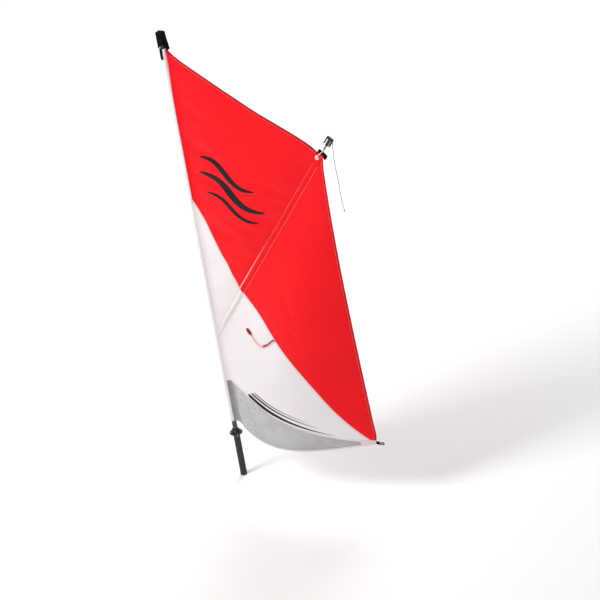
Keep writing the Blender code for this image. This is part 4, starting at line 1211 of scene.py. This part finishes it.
def make_peak_webbing():
    """Strap across the back of the pocket's mouth."""
    low = bent((1.514, -0.026), (1.514, 0.010), (1.505, 0.034), 0.5)
    high = bent((1.546, -0.026), (1.546, 0.008), (1.540, 0.034), 0.5)
    rows = grid(8, 24, lambda u, v: along(*lerp(low(v), high(v), u), 0.0072 + 0.0005 * math.sin(math.pi * u)))
    strap_piece("peak_strap", rows, 0.0018, ["peak_webbing"])


# ---- luff sleeve and hood
def hidden_pinch(rise):
    """How the sleeve narrows where it goes up under the hood."""
    return 1 - 0.15 * smooth((rise - LUFF_LENGTH - 0.012) / 0.020)


def sleeve_ring(rise):
    """The sleeve's section from the sail's seam round the front to its back, as (x, y) points."""
    radius = sleeve_radius(rise)
    start = -math.degrees(math.asin(luff_edge(rise)[1] / radius)) + 14
    crease = 0.0009 * math.sin(rise * 61) * math.sin(rise * 23 + 1)
    points = []
    for k, (x, y) in enumerate(arc((0, 0), radius * hidden_pinch(rise), start, -300, 48)):
        swell = 1 + crease / radius * math.sin(k * 0.5) * smooth(k / 12)
        points.append((x * swell, y * swell))
    return points


def sleeve_row(rise, join, flap):
    """The sleeve's ring at one height, then its back edge laid along the sail from join to flap."""
    z = min(rise, LUFF_LENGTH - 0.030)
    gather = smooth((rise - LUFF_LENGTH + 0.060) / 0.060)
    row = sleeve_ring(rise)
    last_x, last_y = row[-1]
    end_x = join + (last_x + 0.012 - join) * gather
    end_y = sail_y(end_x, z) * (1 - gather) + last_y * 0.5 * gather + 0.0008
    row += [lerp((last_x, last_y), (end_x, end_y), k / 8) for k in range(1, 9)]
    for k in range(1, 4):
        x = end_x + (flap - join) * (1 - gather) * k / 3 + 0.001 * gather * k
        row.append((x, sail_y(x, z) * (1 - gather) + end_y * gather + 0.0008 * (1 - gather)))
    return [Vector((x, y, TACK_Z + rise)) for x, y in row]


def make_sleeve():
    """Cloth wrapped round the mast, sewn under the sail on one side and to its back on the other."""
    join, flap, top = 0.050, 0.062, LUFF_LENGTH + 0.028
    rises = [top * k / 150 for k in range(151)]
    rows = [sleeve_row(rise, join, flap) for rise in rises]
    grid_piece("mast_sleeve_cloth", rows, "sleeve", "sail", "cloth_white", ["luff_sleeve"])
    front = [(luff_edge(rise)[0] + 0.0016, rise) for rise in rises[2:-3:2]]
    stitches("luff_stitching", [front], "white_thread", both=False, lift=0.0008)
    back = [(flap - 0.004, rise) for rise in rises[2:-8:2]]
    stitches("sleeve_back_stitching", [back], "white_thread", both=False, lift=-0.0014)


def squircle(angle, half_x, half_y):
    """A point on a rounded rectangle."""
    c, q = math.cos(angle), math.sin(angle)
    return half_x * math.copysign(abs(c) ** 0.4, c), half_y * math.copysign(abs(q) ** 0.4, q)


def hood_low(x):
    """Height of the hood's lower edge: notched on its sides, longer in front and over the sail's head."""
    return TACK_Z + 2.372 - 0.021 * smooth((-x - 0.007) / 0.006) - 0.040 * clamp((x - 0.012) / 0.018)


def hood_point(angle, j, ceiling):
    """A point of the hood: rows 0 to 24 go up its side, the next four round its rim, the last inwards."""
    half_x, half_y, rim = HOOD_HALF_X, HOOD_HALF_Y, 0.003
    x, y = squircle(angle, half_x, half_y)
    inset = 0.0
    z = hood_low(x) + (ceiling - rim - hood_low(x)) * min(j / 24, 1.0)
    if j > 24:
        turn = math.radians(90 * min((j - 24) / 4, 1.0))
        z = ceiling - rim + rim * math.sin(turn)
        inset = rim * (1 - math.cos(turn)) + max(j - 28, 0) / 4 * 0.0150
    spread = 0.0125 * clamp((TACK_Z + 2.415 - z) / 0.085) * smooth(x / 0.016)
    scale = 1 - inset / half_x
    sag = 0.4 * 0.0006 * math.sin(z * 190 + angle * 2)
    return Vector((x * scale + spread + sag * math.cos(angle),
                   y * scale * (1 - 12 * spread) + sag * math.sin(angle), z))


def make_hood():
    """Webbing hood over the mast's top, a strap folded over it from front to back, and a front tongue."""
    ceiling = MAST_TOP_Z + 0.0012
    rows = [[hood_point(math.tau * k / 72, j, ceiling) for k in range(72)] for j in range(33)]
    crown = Vector((0.0, 0.0, ceiling))
    rows.append([crown + (point - crown) * 0.02 for point in rows[-1]])
    strap_piece("mast_hood", rows, 0.0016, ["head_cap"], wrap=True)

    front, back = -HOOD_HALF_X, HOOD_HALF_X
    over = [(front - 0.0010, TACK_Z + 2.349), (front - 0.0010, ceiling - 0.020),
            (front - 0.0006, ceiling - 0.002), (front + 0.0024, ceiling + 0.0008),
            (0.0, ceiling + 0.0011), (back - 0.0024, ceiling + 0.0008), (back + 0.0006, ceiling - 0.002),
            (back + 0.0014, ceiling - 0.015), (back + 0.0060, TACK_Z + 2.387),
            (back + 0.0130, TACK_Z + 2.341)]
    path = smooth_path([(x, 0.0, z) for x, z in over], 0.003)
    strap = [[Vector((point.x, 0.0145 * (2 * m / 6 - 1), point.z)) for m in range(7)] for point in path]
    strap_piece("mast_hood_strap", strap, 0.0012)

    def tongue(u, v):
        rise = 2.286 + 0.062 * v
        narrow = 1 - 0.10 * (1 - min(v * 8, 1.0)) ** 2
        radius = sleeve_radius(rise) * hidden_pinch(rise) + 0.0013
        angle = math.radians(240 + 43 * narrow * (2 * u - 1))
        return Vector((radius * math.cos(angle), radius * math.sin(angle), TACK_Z + rise))
    strap_piece("mast_hood_tongue", grid(12, 24, tongue), 0.0014)


# ---- clew
def make_clew():
    """Layered patch at the aft lower corner, and the webbing loop that holds the ring."""
    window_end, seam_end, low = window_seam(WINDOW_CLEW), seam(SEAM_CLEW), foot(FOOT_CLEW)
    tip = (CLEW_R - 0.001, CLEW_RISE - 0.001)
    bottom = bent((low[0] - 0.022, low[1] + 0.0012), low, tip, 0.25)
    top = bent((window_end[0] - 0.030, window_end[1] + 0.012), (seam_end[0] - 0.012, PATCH_RISE),
               (leech_r(PATCH_RISE - 0.002), PATCH_RISE - 0.002), 0.6)
    rows = coons(bottom, top, straight(bottom(0), top(0)), straight(tip, top(1)), 40, 30)
    for side, lift, nodes in (("front", 0.0006, ["clew_patch"]), ("back", -0.0006, [])):
        placed = [[on_sail(point, lift) for point in row] for row in rows]
        grid_piece("clew_patch_" + side, placed, "white_patch", "sail", "patch_white", nodes, 0.0005)
    front_edge = stretch(straight(bottom(0.03), top(0.03)), 0.06, 0.94)
    lines = [sampled(seam_offset(stretch(top, 0.02, 0.98), -0.003), 40),
             sampled(seam_offset(stretch(bottom, 0.02, 0.9), 0.011), 40), sampled(front_edge, 20)]
    stitches("clew_patch_stitching", lines, "pale_thread", "patch_white", lift=0.0013)

    bar, half = 0.9405, 0.0078
    layer = [(CLEW_R - 0.014, 0.0002), (CLEW_R - 0.003, 0.0006), (CLEW_R + 0.005, 0.0026)]
    route = [(x, -y) for x, y in layer] + arc((bar, 0), 0.0038, -115, 115, 10) + layer[::-1]
    strap = []
    for x, y in route:
        if x < CLEW_R:
            y += sail_y(x, CLEW_RISE + 0.006) * smooth((CLEW_R - x) / 0.02)
        strap.append([Vector((x, y, CLEW_Z - half + 2 * half * m / 8)) for m in range(9)])
    strap_piece("clew_strap", strap, 0.0010, ["clew_webbing"])


# ---- tell-tale
def slanted_oval(angle, share):
    """A point of the tell-tale's patch, which is longest towards its ribbon."""
    long, short = 0.0240 * share * math.cos(angle), 0.0150 * share * math.sin(angle)
    return TELLTALE_R + (long + short) * math.sqrt(0.5), TELLTALE_RISE + (short - long) * math.sqrt(0.5)


def make_telltale():
    """Oval patch with rounded edges, sewn on with a ring of stitches."""
    rows = grid(48, 8, lambda u, v: on_sail(slanted_oval(math.tau * u, v), 0.0009 + 0.0004 * (1 - v ** 6)),
                wrap=True)
    grid_piece("telltale_patch_cloth", rows, "tell_patch", "sail", "patch_red", ["telltale_patch"],
               thickness=0.0006, wrap=True)
    ring = sampled(lambda t: slanted_oval(math.tau * t, 0.80), 48)
    stitches("telltale_patch_stitching", [ring], "pale_thread", "patch_red", both=False, lift=0.0016,
             pitch=0.003, width=0.0018, radius=0.0003)


def make_ribbon():
    """Thin ribbon blowing aft with one twist and a droop."""
    reach, width = 0.193, 0.011

    def point(u, t):
        r = TELLTALE_R + 0.012 + reach * t
        z = TELLTALE_RISE - 0.012 - 0.046 * math.sin(math.pi * min(t * 1.08, 1.0)) + 0.028 * t
        stand = 0.0036 + 0.0075 * smooth(t / 0.3) + 0.0015 * math.sin(t * 19)
        twist = math.radians(-62 * smooth(t / 0.18) + 70 * smooth((t - 0.42) / 0.2))
        side = width * (u - 0.5)
        middle = on_sail((r, z), stand + 0.5 * width * abs(math.sin(twist)))
        return middle + Vector((0.0, -side * math.sin(twist), side * math.cos(twist)))
    rows = grid(6, 80, point)
    # Painted glare: the ribbon's twisted near half is mixed towards pale pink.
    painted_glare = grid(6, 80, lambda u, t: 0.92 * (1 - smooth((t - 0.50) / 0.05)) * smooth((t - 0.02) / 0.03))
    ribbon = grid_piece("telltale_ribbon_cloth", rows, "ribbon", "telltale", "ribbon_red",
                        ["telltale_ribbon"], thickness=0.0003, lap_and_glare=painted_glare)
    path_length([row[3] for row in rows])


# ---- plain printed decoration
def printed_band(name, centre, half, slot):
    """A flat printed shape along a line, half(t) wide to each side, laid on both faces of the cloth."""
    for face, lift in (("front", 0.0007), ("back", -0.0007)):
        rows = grid(90, 6, lambda t, v: on_sail(seam_offset(centre, (2 * v - 1) * half(t))(t), lift))
        grid_piece(name + "_" + face, rows, "emblem", "sail", slot, thickness=0.0002)


def wave(start, end, swing):
    """A line that swings once to each side on its way from start to end."""
    def centre(t):
        r, z = lerp(start, end, t)
        return r + 0.5 * swing * math.sin(math.tau * t), z + swing * math.sin(math.tau * t)
    return centre


def make_decoration():
    """Three plain waves on the red cloth and three plain stripes above the window."""
    waves = [((0.110, 1.715), (0.430, 1.545), 0.018, 0.027), ((0.085, 1.615), (0.470, 1.415), 0.022, 0.029),
             ((0.115, 1.500), (0.420, 1.345), 0.013, 0.022)]
    for index, (start, end, width, swing) in enumerate(waves, 1):
        printed_band("printed_wave_%d" % index, wave(start, end, swing),
                     lambda t: width * math.sin(math.pi * t) ** 0.6 + 0.0008, "cloth_red")
    stripes = [(0.022, 0.14, 0.76, 0.0110), (0.050, 0.16, 0.66, 0.0060), (0.068, 0.18, 0.58, 0.0030)]
    for index, (rise, low, high, width) in enumerate(stripes, 1):
        printed_band("printed_stripe_%d" % index, stretch(seam_offset(window_seam, rise), low, high),
                     lambda t: width * min(1.0, (1 - t) / 0.8, t / 0.03 + 0.2) + 0.0004, "cloth_white")


# ---- parts taken over from the CAD
CAD_FINISH = {
    "step_tube": "step", "mast_stop_collar": "step", "step_seal": "rubber", "step_wear_disc": "nylon",
    "mast_foot_plug": "nylon", "mast_joint_spigot": "nylon", "batten_heel_cap": "nylon", "step_bush": "bush",
    "mast_top_plug": "bush", "lower_mast_tube": "mast", "upper_mast_tube": "mast", "batten_rod": "rod",
    "batten_tip_cleat": "cleat", "hook_body": "cleat", "hook_gate": "cleat", "hook_swivel_eye": "steel",
    "clew_ring": "steel"}


def finish_cad():
    for name, material in CAD_FINISH.items():
        give(bpy.data.objects[name], material)
    for obj in bpy.data.objects:
        if obj.type == "MESH" and "screw" in obj.name:
            give(obj, "steel")


def give(obj, material):
    obj.data.materials.clear()
    obj.data.materials.append(MAT[material])


# ---- build
make_camera()
make_materials()
make_floor()
make_studio()
make_tail()
make_lacing()
SURFACE["tree"] = simulate_sail()
make_white_panels()
make_red_head()
make_red_leech()
make_window()
make_edges()
make_pocket()
make_eyelet()
make_peak_webbing()
make_sleeve()
make_hood()
make_clew()
make_telltale()
make_ribbon()
make_decoration()
finish_cad()
